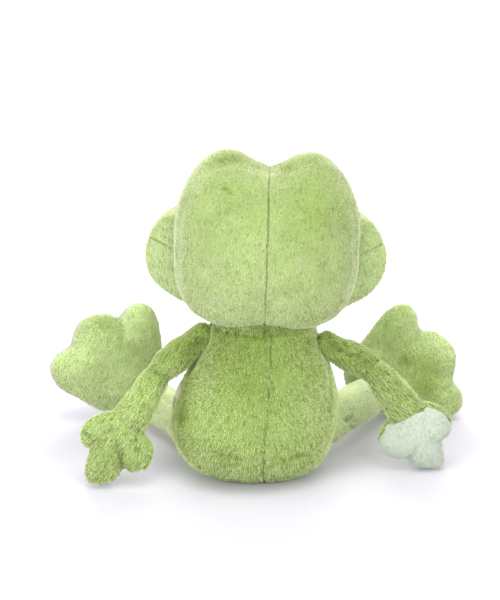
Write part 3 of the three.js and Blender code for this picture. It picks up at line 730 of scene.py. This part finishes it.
def pile_on(form, owners, nap, pile, seed, tone):
    """Tufts of fibres on the cloth of some nodes: closed spikes with three points sunk in the
    skin and a tip that is combed along the nap."""
    dice = np.random.default_rng(seed)
    root, normal = roots_on(form, owners, pile.per_mm2, dice)
    owner, seam = form.cloth_at(root)
    gap = np.clip(1 - (seam / SEAM_SHADE), 0, 1) * pile.seam_shows
    kept = np.isin(owner, owners) & (seam > STITCHED * pile.seam_shows)
    kept &= root[:, 2] + normal[:, 2] * MM > PRESSED_BY_TABLE
    root, normal, gap = root[kept], normal[kept], gap[kept][:, None]
    n = len(root)

    # each tuft leans and strays a little from the nap, and its tip clings to a lock
    way = nap(root, normal)
    across = np.cross(normal, way)
    lean = pile.lift * (1 + 0.35 * ripple(root, 9 * MM, seed + 1))[:, None]
    lean = lean + dice.normal(0, 0.14, (n, 1))
    stray = dice.normal(0, 0.18, (n, 1))
    way = way * np.cos(stray) + across * np.sin(stray)
    across = np.cross(normal, way)
    long = pile.length * MM * dice.uniform(0.72, 1.18, (n, 1)) * (1 - 0.35 * gap)
    wide = pile.width * MM * dice.uniform(0.75, 1.25, (n, 1)) / 2
    tip = root + long * (way * np.cos(lean) + normal * np.sin(lean))
    axis = way.mean(0)
    shift, chance = in_locks(tip, axis / np.linalg.norm(axis), dice, pile.leaders)
    tip += pile.cling * shift

    sunk = root - normal * 0.15 * MM
    ahead, beside = way * wide * 0.6, across * wide
    corners = [sunk - way * wide, sunk + ahead + beside, sunk + ahead - beside, tip]
    spikes = np.stack(corners, 1)
    spikes[:, :, 2] = np.maximum(spikes[:, :, 2], PILE_OVER_TABLE)
    first = np.arange(n)[:, None, None] * len(corners)
    faces = (first + np.array([[0, 2, 1], [0, 1, 3], [1, 2, 3], [2, 0, 3]])).reshape(-1, 3)

    # painted rim light down the sides
    rim_lit = painted_rim_light(normal)
    # here and there a lock lies flat and is painted as a dark dash: its dye, and painted shade as
    # in the gaps between locks
    flat = 1 - pile.parted * (1 - 0.7 * rim_lit) * np.clip(1.5 - chance / 0.2, 0, 1)
    # the roots are painted dark, as shade deep in the pile, and the tone carries painted light and
    # shade
    shade = np.zeros((n, len(corners), 4))
    shade[:, 3, HEIGHT] = 1 - 0.2 * rim_lit
    shade[:, :3, HEIGHT] = 0.18 + 0.3 * rim_lit[:, None]
    shade[:, :, CHANCE] = (chance + 0.6 * (0.5 - chance) * rim_lit)[:, None]
    shade[:, :, NEAR_SEAM] = gap
    shade[:, :, TONE] = (rim_brightened(tone(root), rim_lit) * flat)[:, None]
    return spikes.reshape(-1, 3), faces, shade.reshape(-1, 4)


def cut_cloth(form, owners, tone=even):
    """The skin over some nodes as a closed piece of cloth, or the whole form where they are all
    its nodes."""
    mine = np.isin(form.owner[form.faces], owners).sum(1) >= 2
    if mine.all():
        points, faces, seam = form.points, form.faces, form.seam
        # painted rim light down the sides
        rim_lit = painted_rim_light(form.normals)
    else:
        used, faces = np.unique(form.faces[mine], return_inverse=True)
        faces = faces.reshape(-1, 4)
        outer, normals, seam = form.points[used], form.normals[used], form.seam[used]
        n = len(used)
        edges = edges_of(faces)
        key = np.sort(edges, axis=1) @ np.array([n, 1])
        _, where, times = np.unique(key, return_inverse=True, return_counts=True)
        rim = edges[times[where] == 1]
        walls = np.stack([rim[:, 1], rim[:, 0], rim[:, 0] + n, rim[:, 1] + n], 1)
        points = np.concatenate([outer, outer - normals * CLOTH_THICKNESS])
        points[:, 2] = np.maximum(points[:, 2], PILE_OVER_TABLE)
        faces = np.concatenate([faces, faces[:, ::-1] + n, walls])
        seam = np.concatenate([seam, seam])
        rim_lit = painted_rim_light(np.concatenate([normals, normals]))
    # the cloth under the tufts is painted dark with the root colour, as shade deep in the pile, and
    # paler with the painted rim light
    shade = np.zeros((len(points), 4))
    shade[:, HEIGHT] = 0.1 + 0.3 * rim_lit
    shade[:, CHANCE] = 0.3 + 0.2 * rim_lit
    shade[:, NEAR_SEAM] = np.clip(1 - seam / SEAM_SHADE, 0, 1)
    shade[:, TONE] = rim_brightened(tone(points), rim_lit)
    return points, faces, shade


def piece_of(name, parts, material, slot):
    """One object out of (points, faces, shade) parts."""
    starts = np.cumsum([0] + [len(p) for p, _, _ in parts])
    faces = [row for (_, f, _), s in zip(parts, starts) for row in (f + s).tolist()]
    mesh = bpy.data.meshes.new(name)
    mesh.from_pydata(np.concatenate([p for p, _, _ in parts]), [], faces)
    shade = np.concatenate([c for _, _, c in parts])
    colours = mesh.color_attributes.new("pile", "FLOAT_COLOR", "POINT")
    colours.data.foreach_set("color", shade.astype(np.float32).ravel())
    mesh.shade_smooth()
    mesh.materials.append(material)
    made = bpy.data.objects.new(name, mesh)
    bpy.context.scene.collection.objects.link(made)
    return made


def painted_light_and_shade(form, spots, base=even):
    """How bright the pile is painted: painted shade at some places, in folds, creases and hollows
    and where neighbours shade it, and a few darker brushed patches, given as pixel, reach in mm and
    depth. A depth below 0 paints light there and makes it paler."""
    places = [(form.seen_at(*pixel), reach * MM, depth) for pixel, reach, depth in spots]

    def tone(points):
        value = base(points)
        for place, reach, depth in places:
            away = np.linalg.norm(points - place, axis=1)
            value = value * (1 - depth * np.exp(-((away / reach) ** 2)))
        return value

    return tone


def plush_piece(name, form, nodes, nap, look, pile, seed, tone=even):
    """A sewn plush piece: its cloth and its pile, in place of its nodes."""
    owners = [form.nodes.index(n) for n in nodes]
    cloth = cut_cloth(form, owners, tone)
    tufts = pile_on(form, owners, nap, pile, seed, tone)
    made = piece_of(name, [cloth, tufts], *look)
    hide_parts(*nodes)
    return made


# Dye and slot
# the paler and palest looks are the green cloth with painted light
green, paler, palest = ((dye, "green_plush") for dye in (GREEN, GREEN_PAINTED_LIT, GREEN_PAINTED_LIT_MORE))
smooth, mint = (HEAD_GREEN, "smooth_plush"), (MINT, "mint_plush")

HEAD_PILE = Pile(0.9, 0.38, 4.4, lift=1.05, seam_shows=0.45, cling=0.74, parted=0.35)
FACE_PILE = HEAD_PILE._replace(width=0.44, per_mm2=3.0)
BACK_PILE = Pile(1.4, 0.44, 3.5, lift=0.85, seam_shows=0.4, cling=0.74, parted=0.4)
BELLY_PILE = BACK_PILE._replace(width=0.5, per_mm2=1.9)
NECK_PILE = Pile(2.3, 0.5, 3.2, lift=0.35)
ARM_PILE = Pile(1.9, 0.52, 2.8, lift=0.6, seam_shows=0.5, cling=0.8, parted=0.5)
ARM_ROOT_PILE = Pile(1.4, 0.5, 2.6, lift=0.5)
PALM_PILE = Pile(0.9, 0.4, 4.0, lift=0.9, cling=0.3, leaders=0.5, parted=0.08)
LEG_PILE = Pile(1.3, 0.45, 3.2, lift=0.8, cling=0.45)
LEG_ROOT_PILE = Pile(1.2, 0.5, 2.4, lift=0.5)
FOOT_PILE = Pile(1.4, 0.45, 3.2, lift=0.8)
SOLE_PILE = PALM_PILE._replace(per_mm2=3.6)

# ---------------------------------------------------------------- head

head = Form(
    ["head_back_left_panel", "head_back_right_panel", "upper_face_panel", "lower_jaw_panel"],
    grid=0.8 * MM,
    rounds=10,
    filled_by=["head_stuffing"],
)
head.press(0.35 * MM * ripple(head.points, 16 * MM, 3))
head.sew(depth=0.6 * MM, width=0.7 * MM)
# hollows where the filling is thin behind the eye domes, and two short pulls in the cloth
for pixels, width, depth in (
    ([(212, 168), (222, 162), (233, 160)], 5, 0.9),
    ([(281, 165), (287, 172)], 5, 0.9),
    ([(222, 189), (228, 190)], 1.0, 0.8),
    ([(229, 193), (233, 195)], 0.9, 0.6),
):
    head.dart(pixels, width, depth)
head_nap = swirled(
    towards(DOWN),
    size=30 * MM,
    turn=0.7,
    seed=11,
    strokes=[
        (head.seen_at(222, 164), 8, 2.4),
        (head.seen_at(284, 168), 6, -2.2),
        (head.seen_at(300, 212), 14, -1.1),
        (head.seen_at(330, 225), 12, 1.2),
        (head.seen_at(248, 215), 12, -0.8),
    ],
)


def head_painted_level(points):
    """Painted light and shade: the head's pile is painted a little brighter all over, and a little
    darker on its right side and up on the eye domes.
    """
    rightwards = np.clip(-points[:, 0] / (30 * MM), 0, 1)
    upwards = np.clip((points[:, 2] - 120 * MM) / (25 * MM), 0, 1)
    return 1.14 - 0.07 * rightwards - 0.07 * upwards


# painted shade in the hollows of the eye domes, in the two short pulls and in darker patches on the
# right, and painted light on the left rim and low down
head_painted_shading = painted_light_and_shade(
    head,
    [
        ((222, 163), 4.5, 0.2),
        ((235, 160), 4.5, 0.2),
        ((278, 163), 3.5, 0.16),
        ((286, 169), 4.5, 0.2),
        ((225, 189), 1.8, 0.3),
        ((230, 193), 1.5, 0.3),
        ((303, 206), 10.0, 0.06),
        ((324, 222), 9.0, 0.07),
        ((182, 238), 7.0, -0.06),
        ((218, 302), 16.0, -0.05),
    ],
    head_painted_level,
)
# the cheeks' pile is pressed down beside the back panels' edges, and painted shade lies there; the
# face's pile is painted a little brighter
face_painted_shading = painted_light_and_shade(
    head,
    [((across, down), 3.5, 0.12) for across in (174, 361) for down in (222, 243, 266)],
    lambda points: 1.12 * head_painted_shading(points),
)
for number, (name, pile, tone) in enumerate((
    ("head_back_left", HEAD_PILE, head_painted_shading),
    ("head_back_right", HEAD_PILE, head_painted_shading),
    ("upper_face", FACE_PILE, face_painted_shading),
    ("lower_jaw", FACE_PILE, face_painted_shading),
)):
    made = plush_piece(name, head, [f"{name}_panel"], head_nap, smooth, pile, 100 + number, tone)
    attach(made, "head")

# ---------------------------------------------------------------- torso

torso = Form(
    ["torso_back_left_panel", "torso_back_right_panel", "belly_panel"],
    grid=0.8 * MM,
    rounds=12,
    filled_by=["torso_stuffing", "pellet_bag"],
)
torso.press(0.4 * MM * ripple(torso.points, 18 * MM, 5))
torso.sew(depth=0.6 * MM, width=0.8 * MM)
# the darts near the seat, the stitches that dimple the seam down the back, and a hollow
for pixels, width, depth in (
    ([(214, 452), (224, 453), (236, 458)], 1.1, 1.4),
    ([(276, 459), (290, 457), (303, 454)], 1.1, 1.4),
    ([(264, 428), (264, 458), (260, 475)], 1.4, 0.7),
    ([(267, 345), (268, 352)], 1.5, 0.6),
    ([(268, 374), (267, 377)], 1.3, 1.0),
    ([(266, 391), (266, 398)], 1.2, 0.8),
    ([(265, 410), (264, 417)], 1.2, 0.9),
    ([(328, 372), (329, 392)], 2.5, 0.7),
):
    torso.dart(pixels, width, depth)
torso_nap = swirled(
    towards(DOWN),
    size=24 * MM,
    turn=0.5,
    seed=21,
    strokes=[(torso.seen_at(226, 385), 19, -0.7), (torso.seen_at(306, 385), 19, 0.7)],
)
# Pixels along the two darts, and along the crease under the head, where painted shade lies
DART_SHADE = (
    (215, 451), (221, 454), (229, 456), (237, 458), (284, 460), (291, 458), (297, 455), (302, 453)
)
NECK_CREASE_SHADE = (
    (213, 325), (220, 329), (228, 332), (237, 334), (246, 336), (255, 338), (263, 338)
)


def torso_painted_level(points):
    """Painted light and shade: the pile is painted brighter, darker up under the head, where the
    head shades it and the pile is pressed flat, and paler near the table.
    """
    upwards = np.clip((points[:, 2] - 48 * MM) / (24 * MM), 0, 1)
    downwards = np.clip((25 * MM - points[:, 2]) / (15 * MM), 0, 1)
    return 1.18 - 0.2 * upwards + 0.08 * downwards


# painted shade down the torso's left side where the arm shades it, on the left shoulder, in darker
# brushed patches, along the darts and under the head, and painted light on a few paler patches
torso_painted_shading = painted_light_and_shade(
    torso,
    [
        ((196, 362), 5.0, 0.22),
        ((191, 374), 5.5, 0.3),
        ((186, 388), 6.0, 0.32),
        ((182, 403), 6.5, 0.33),
        ((180, 419), 6.5, 0.3),
        ((180, 436), 6.5, 0.25),
        ((176, 395), 7.0, 0.25),
        ((173, 420), 7.0, 0.25),
        ((222, 334), 6.0, 0.14),
        ((240, 365), 14.0, 0.11),
        ((248, 395), 10.0, 0.09),
        ((198, 430), 13.0, -0.1),
        ((206, 382), 7.0, -0.06),
        ((312, 435), 12.0, -0.05),
        *((pixel, 1.5, 0.42) for pixel in DART_SHADE),
        *((pixel, 1.8, 0.42) for pixel in NECK_CREASE_SHADE),
    ],
    torso_painted_level,
)
for number, (name, node_name, pile) in enumerate((
    ("torso_back_left", "torso_back_left_panel", BACK_PILE),
    ("torso_back_right", "torso_back_right_panel", BACK_PILE),
    ("belly", "belly_panel", BELLY_PILE),
)):
    made = plush_piece(name, torso, [node_name], torso_nap, green, pile, 200 + number, torso_painted_shading)
    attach(made, "torso")


# ---------------------------------------------------------------- label


def seam_spot(form, height):
    """A point of the form's left side seam, at a height in mm."""
    level = (np.abs(form.points[:, 2] - height * MM) < 1.0 * MM) & (form.points[:, 0] > 20 * MM)
    return form.points[level][form.seam[level].argmin()]


def folded_ribbon(low, high):
    """A ribbon folded once, with its two ends caught in the seam between two points, as (points,
    faces): it bends out and forward."""
    ahead, out = np.array((0.1, -0.995, 0.0)), np.array((0.995, 0.1, 0.0))
    # its line from above, in mm ahead of the seam and out from it
    fold = np.array([
        (-1.5, 0), (1, 0.1), (4, 0.3), (7, 0.2), (8.6, 0.25), (9.2, 0.8),
        (8.6, 1.35), (7, 1.3), (4, 1.2), (1, 0.6), (-1.5, 0.5),
    ])
    half_thickness, bulge, inset = 0.14, 0.5, 0.35
    along = np.gradient(fold, axis=0)
    along /= np.linalg.norm(along, axis=1, keepdims=True)
    thick = half_thickness * np.stack([-along[:, 1], along[:, 0]], 1)
    section = np.concatenate([fold + thick, (fold - thick)[::-1]])
    levels = np.linspace(0, 1, 6)
    points = np.concatenate([
        low + (high - low) * level
        + (
            np.outer(section[:, 0], ahead)
            + np.outer(section[:, 1] + bulge * math.sin(3 * level) - inset, out)
        ) * MM
        for level in levels
    ])
    turn = len(section)
    faces = []
    for i in range(len(levels) - 1):
        for j in range(turn):
            a, b = i * turn + j, i * turn + (j + 1) % turn
            faces.append([a, b, b + turn, a + turn])
    for base, way in ((0, -1), ((len(levels) - 1) * turn, 1)):
        faces += [
            [base + k for k in (j, j + 1, turn - 2 - j, turn - 1 - j)[::way]]
            for j in range(len(fold) - 1)
        ]
    return points, faces


low, high = seam_spot(torso, 37), seam_spot(torso, 47.5)
points, faces = folded_ribbon(low, high)
mesh = bpy.data.meshes.new("side_label")
mesh.from_pydata(points.tolist(), [], faces)
dyed_up_to = low[2] + 5.5 * MM
mesh.materials.append(satin_ribbon("woven_satin_ribbon", "#8a5536", "#ddd5c6", dyed_up_to))
label = bpy.data.objects.new("side_label", mesh)
bpy.context.scene.collection.objects.link(label)
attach(label, "torso")

# ---------------------------------------------------------------- neck

neck = Form(["neck"], grid=0.7 * MM, rounds=6)
# a rolled fold on the left, drawn in to a knot beside the seam
neck.dart([(214, 324), (236, 331), (262, 336)], 1.2, 0.9)
neck.dart([(264, 331), (266, 332)], 1.2, 1.0)
# painted shade along the crease under the head and at the knot, and the right side, under the head,
# painted darker than the left
neck_painted_shading = painted_light_and_shade(
    neck,
    [((265, 331), 1.8, 0.35), *(((across, down - 2), 1.2, 0.3) for across, down in NECK_CREASE_SHADE)],
    lambda points: 0.84 + 0.12 * np.clip((points[:, 0] + 2 * MM) / (10 * MM), 0, 1),
)
made = plush_piece("neck_roll", neck, ["neck"], torso_nap, green, NECK_PILE, 250, neck_painted_shading)
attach(made, "neck")

# ---------------------------------------------------------------- limbs

# Folds of the sleeves and the valleys between the fingers: pixels, width and depth in mm
ARM_FOLDS = {
    "left": (
        ([(206, 336), (196, 341), (186, 352)], 1.5, 1.6),
        ([(149, 371), (160, 374), (173, 383)], 1.5, 1.3),
        ([(91, 449), (101, 440), (110, 430)], 2.4, 1.8),
        ([(125, 472), (120, 458), (116, 446)], 2.6, 2.2),
        ([(122, 420), (136, 428), (150, 438)], 2.5, 1.0),
    ),
    "right": (
        ([(331, 347), (350, 355), (369, 364)], 1.3, 1.4),
        ([(378, 360), (372, 366), (361, 377)], 1.3, 1.5),
        ([(446, 444), (432, 440)], 1.6, 0.7),
        ([(409, 460), (417, 448)], 1.6, 0.5),
    ),
}
# Painted shade in the sleeves' folds, armpits, elbows and finger valleys, where the pile is also
# parted or pressed: pixel, reach in mm and how much darker
ARM_PAINTED_SHADE = {
    "left": (
        ((203, 339), 2.4, 0.35),
        ((198, 342), 2.4, 0.35),
        ((193, 347), 2.4, 0.3),
        ((188, 353), 2.4, 0.25),
        ((158, 375), 2.5, 0.15),
        ((100, 441), 3.0, 0.2),
        ((121, 462), 3.0, 0.22),
        ((116, 447), 2.5, 0.18),
        ((136, 428), 4.0, 0.12),
    ),
    "right": (
        ((331, 345), 3.0, 0.25),
        ((340, 350), 1.8, 0.3),
        ((348, 354), 1.8, 0.3),
        ((356, 358), 1.8, 0.3),
        ((364, 362), 1.8, 0.3),
        ((371, 366), 1.8, 0.35),
        ((363, 375), 1.8, 0.25),
    ),
}
# Painted light and shade: how bright the sleeve and hand are painted at these shares of the way
# from shoulder to hand, darker up under the head and brighter down the forearm
ARM_WAY = (0.1, 0.4, 0.65, 1)
ARM_PAINTED_LIGHT = {"left": (0.9, 1.1, 1.48, 1.28), "right": (0.9, 1.07, 1.2, 1.14)}
# Where the green back of a hand wraps round onto the palm side: pixel, reach and width in mm
PALM_LAPS = {
    "left": (),
    "right": (((428, 409), 6, 2.0), ((446, 416), 6, 2.0), ((382, 430), 3, 2.5)),
}
# The legs' folds, and where their pile is painted with shade or light
LEG_FOLDS = {
    "left": (([(163, 398), (170, 404)], 1.6, 1.0),),
    "right": (
        ([(338, 416), (346, 420), (352, 417)], 1.5, 1.4),
        ([(346, 420), (350, 427)], 1.3, 1.2),
    ),
}
LEG_PAINTED_SHADING = (((346, 420), 3.0, 0.25), ((356, 384), 6.0, 0.08), ((352, 402), 11.0, -0.16))
# The valleys between the toes, and where the feet's pile is painted with shade or light
FOOT_FOLDS = {
    "left": (([(120, 320), (130, 335), (137, 352)], 3.0, 0.8),),
    "right": (
        ([(421, 328), (412, 346), (405, 362)], 3.2, 1.6),
        ([(455, 382), (444, 392), (432, 408)], 2.6, 1.6),
    ),
}
FOOT_PAINTED_SHADING = {
    "left": (
        ((148, 322), 10.0, -0.2),
        ((72, 348), 12.0, -0.06),
        ((120, 385), 12.0, -0.06),
        ((103, 322), 5.0, 0.12),
        ((140, 350), 7.0, 0.06),
    ),
    "right": (
        ((405, 362), 5.0, 0.18),
        ((388, 345), 16.0, 0.08),
        ((420, 372), 9.0, 0.16),
        ((433, 362), 8.0, 0.16),
        ((428, 389), 8.0, 0.26),
        ((452, 397), 7.0, 0.1),
        ((440, 345), 8.0, -0.12),
        ((428, 330), 5.0, -0.08),
        ((441, 392), 3.5, -0.14),
        ((422, 310), 6.0, -0.06),
    ),
}
# painted light: how much brighter the feet's pile is painted
FOOT_PAINTED_LIGHT = {"left": 1.2, "right": 1.18}
# The radius that the limbs are stuffed to, from shoulder to wrist and from hip to ankle
SLEEVE_RADII = np.array([6.0, 6.7, 6.3, 7.4, 7.2]) * MM
LEG_RADII = np.array([7.6, 9.8, 10.3, 10.2, 8.8]) * MM


def far_end(name, start):
    """The middle of the end of a node that lies farthest from a point."""
    points, _ = node_surface(name)
    away = np.linalg.norm(points - start, axis=1)
    return points[away > away.max() - 4 * MM].mean(0)


def stuffed_tube(start, bend, end, radii):
    """The stuffing of a limb that bends at one place."""
    return tube([start, (start + bend) / 2, bend, (bend + end) / 2, end], radii)


def bend_zone(start, joint, end, reach):
    """The two ends of the stretch of a limb that gives way at its joint."""
    upper, lower = (joint - start), (end - joint)
    way = upper / np.linalg.norm(upper) + lower / np.linalg.norm(lower)
    way *= reach / np.linalg.norm(way)
    return joint - way, joint + way


for side in SIDES:
    shoulder, elbow = hinge[f"{side}_shoulder_raise"], hinge[f"{side}_elbow_bend"]
    hand = np.mean(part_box(f"{side}_palm"), axis=0)
    wrist = far_end(f"{side}_forearm", elbow)
    green_nodes = [f"{side}_{part}" for part in ("upper_arm", "forearm", "hand_back")]
    arm = Form(
        [*green_nodes, f"{side}_palm"],
        grid=0.7 * MM,
        rounds=6,
        stuffed=[stuffed_tube(shoulder, elbow, wrist, SLEEVE_RADII)],
    )
    for pixel, reach, width in PALM_LAPS[side]:
        arm.lap(f"{side}_palm", pixel, reach, width)
    arm.sew(depth=0.6 * MM, width=0.8 * MM)
    for pixels, width, depth in ARM_FOLDS[side]:
        arm.dart(pixels, width, depth)
    arm_nap = swirled(towards(hand - shoulder), size=14 * MM, turn=0.5, seed=31)
    share_of_way = (hand - shoulder) / ((hand - shoulder) @ (hand - shoulder))
    arm_painted_shading = painted_light_and_shade(
        arm,
        ARM_PAINTED_SHADE[side],
        lambda points: np.interp(
            (points - shoulder) @ share_of_way, ARM_WAY, ARM_PAINTED_LIGHT[side]
        ),
    )
    made = plush_piece(
        f"{side}_arm", arm, green_nodes, arm_nap, green, ARM_PILE, 300, arm_painted_shading
    )
    start, end = bend_zone(shoulder, elbow, hand, reach=6 * MM)
    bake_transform(made)
    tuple(start)
    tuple(end)
    made = plush_piece(
        f"{side}_palm_pad", arm, [f"{side}_palm"], arm_nap, mint, PALM_PILE, 310, clean
    )
    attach(made, f"{side}_lower_arm")

    gather = f"{side}_shoulder_gather"
    root = Form([gather], grid=0.6 * MM, rounds=3)
    made = plush_piece(
        f"{side}_arm_root", root, [gather], arm_nap, green, ARM_ROOT_PILE, 320, arm_painted_shading
    )
    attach(made, f"{side}_arm_root")

    hip, knee, ankle = (hinge[f"{side}_{n}"] for n in ("hip_raise", "knee_bend", "ankle_tilt"))
    # the stuffing is a little higher at the knee than its hinge
    stuffing = stuffed_tube(hip, knee + (0, 0, 2 * MM), ankle, LEG_RADII)
    leg = Form([f"{side}_thigh", f"{side}_shin"], grid=0.8 * MM, rounds=6, stuffed=[stuffing])
    for pixels, width, depth in LEG_FOLDS[side]:
        leg.dart(pixels, width, depth)
    # painted light: the legs' pile is painted brighter all over
    leg_painted_shading = painted_light_and_shade(leg, LEG_PAINTED_SHADING, lambda points: 1.12 * even(points))
    leg_nap = swirled(towards(ankle - hip), size=18 * MM, turn=0.4, seed=41)
    made = plush_piece(
        f"{side}_leg", leg, leg.nodes, leg_nap, palest, LEG_PILE, 400, leg_painted_shading
    )
    start, end = bend_zone(hip, knee, ankle, reach=7 * MM)
    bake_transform(made)
    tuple(start)
    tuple(end)

    gather = f"{side}_hip_gather"
    root = Form([gather], grid=0.6 * MM, rounds=3)
    made = plush_piece(f"{side}_leg_root", root, [gather], leg_nap, palest, LEG_ROOT_PILE, 420)
    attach(made, f"{side}_leg_root")

    foot = Form([f"{side}_foot_top", f"{side}_foot_sole"], grid=0.9 * MM, rounds=6)
    foot.press(0.3 * MM * ripple(foot.points, 14 * MM, 51))
    foot.sew(depth=0.8 * MM, width=1.1 * MM)
    for pixels, width, depth in FOOT_FOLDS[side]:
        foot.dart(pixels, width, depth)
    foot_painted_shading = painted_light_and_shade(
        foot, FOOT_PAINTED_SHADING[side], lambda points: FOOT_PAINTED_LIGHT[side] * even(points)
    )
    outward = (0.5 * SIDES[side], 0, -1)
    foot_nap = swirled(towards(outward), size=22 * MM, turn=0.6, seed=52)
    made = plush_piece(
        f"{side}_foot", foot, [f"{side}_foot_top"], foot_nap, paler, FOOT_PILE, 430, foot_painted_shading
    )
    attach(made, f"{side}_foot")
    made = plush_piece(
        f"{side}_sole_pad", foot, [f"{side}_foot_sole"], foot_nap, mint, SOLE_PILE, 440
    )
    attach(made, f"{side}_foot")

# ---------------------------------------------------------------- fillings and eyes

# What the cloth is stuffed with, lumpy as it was pushed in
for name, source, grid, lumps, material, slot, body, seed in (
    ("head_filling", "head_stuffing", 2.5, 0.8, FILLING, "filling", "head", 61),
    ("torso_filling", "torso_stuffing", 2.5, 0.8, FILLING, "filling", "torso", 62),
    ("seat_pellet_bag", "pellet_bag", 1.5, 0.5, PELLET_BAG, "pellet_bag", "torso", 63),
):
    form = Form([source], grid=grid * MM, rounds=4)
    form.press(np.abs(lumps * MM * ripple(form.points, 12 * MM, seed)))
    made = piece_of(name, [cut_cloth(form, [0])], material, slot)
    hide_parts(source)
    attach(made, body)

for side in SIDES:
    eye = Form([f"{side}_eye"], grid=0.35 * MM, rounds=5)
    made = piece_of(f"{side}_safety_eye", [cut_cloth(eye, [0])], EYE_BLACK, "eye")
    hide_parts(f"{side}_eye")
    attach(made, "head")
    mesh = frame["nodes"][f"{side}_eye_washer"].data
    mesh.materials.clear()
    mesh.materials.append(WASHER_WHITE)

# ---------------------------------------------------------------- floor and light


def white_paper(name, near=0.11, far=0.25):
    """Matt white card. Away from the toy it fades to the photograph's plain white, only for the
    camera and in reflections, and near the toy it keeps the shadow."""
    material = blank(name)
    place = node(material, "ShaderNodeTexCoord").outputs["Object"]
    grain = node(
        material,
        "ShaderNodeTexNoise",
        inputs={"Scale": 60.0, "Detail": 2.0},
        links={"Vector": place},
    )
    colour = node(
        material,
        "ShaderNodeMix",
        COLOURS,
        {COLOUR_A: linear("#dfdce4"), COLOUR_B: linear("#e2dfe7")},
        {0: grain},
    )
    card = node(material, "ShaderNodeBsdfDiffuse", links={"Color": colour.outputs[MIXED]})
    away = node(material, "ShaderNodeVectorMath", {"operation": "LENGTH"}, links={0: place})
    fade = node(
        material,
        "ShaderNodeMapRange",
        {"interpolation_type": "SMOOTHSTEP"},
        {"From Min": near, "From Max": far, "To Max": 0.6},
        {"Value": away.outputs["Value"]},
    )
    ray = node(material, "ShaderNodeLightPath").outputs
    seen = ray["Is Camera Ray"]
    for kind in ("Is Glossy Ray", "Is Transmission Ray"):
        seen = node(
            material, "ShaderNodeMath", {"operation": "MAXIMUM"}, links={0: seen, 1: ray[kind]}
        )
    strength = node(
        material, "ShaderNodeMath", {"operation": "MULTIPLY"}, links={0: seen, 1: fade}
    )
    glow = node(
        material,
        "ShaderNodeEmission",
        inputs={"Color": (1, 1, 1, 1)},
        links={"Strength": strength},
    )
    paper = node(material, "ShaderNodeAddShader", links={0: card, 1: glow})
    node(material, "ShaderNodeOutputMaterial", links={"Surface": paper})
    return material


bpy.ops.mesh.primitive_plane_add(size=30)
floor = bpy.context.object
floor.name = "floor"
floor.data.materials.append(white_paper("white_paper_floor"))

world = bpy.data.worlds.new("studio")
world.use_nodes = True
world.node_tree.nodes["Background"].inputs["Color"].default_value = (0.96, 0.97, 1.0, 1.0)
world.node_tree.nodes["Background"].inputs["Strength"].default_value = 0.75
bpy.context.scene.world = world


def softbox(name, place, target, width, height, power):
    """A large, soft studio lamp that looks at a point."""
    data = bpy.data.lights.new(name, "AREA")
    data.shape, data.size, data.size_y, data.energy = "RECTANGLE", width, height, power
    made = bpy.data.objects.new(name, data)
    bpy.context.scene.collection.objects.link(made)
    made.location = place
    made.rotation_euler = (Vector(target) - Vector(place)).to_track_quat("-Z", "Y").to_euler()


softbox("overhead", (0.0, 0.35, 1.2), (0, 0, 0.05), 0.9, 0.9, power=6.5)
softbox("from_camera_left", (0.8, 1.15, 0.45), (0, 0, 0.06), 0.8, 0.8, power=12.0)
softbox("from_camera_right", (-0.7, 1.2, 0.4), (0, 0, 0.06), 0.8, 0.8, power=10.0)
softbox("front", (0.0, -1.2, 0.6), (0, 0, 0.08), 1.0, 0.7, power=12.0)

bpy.context.scene.view_settings.view_transform = "Standard"
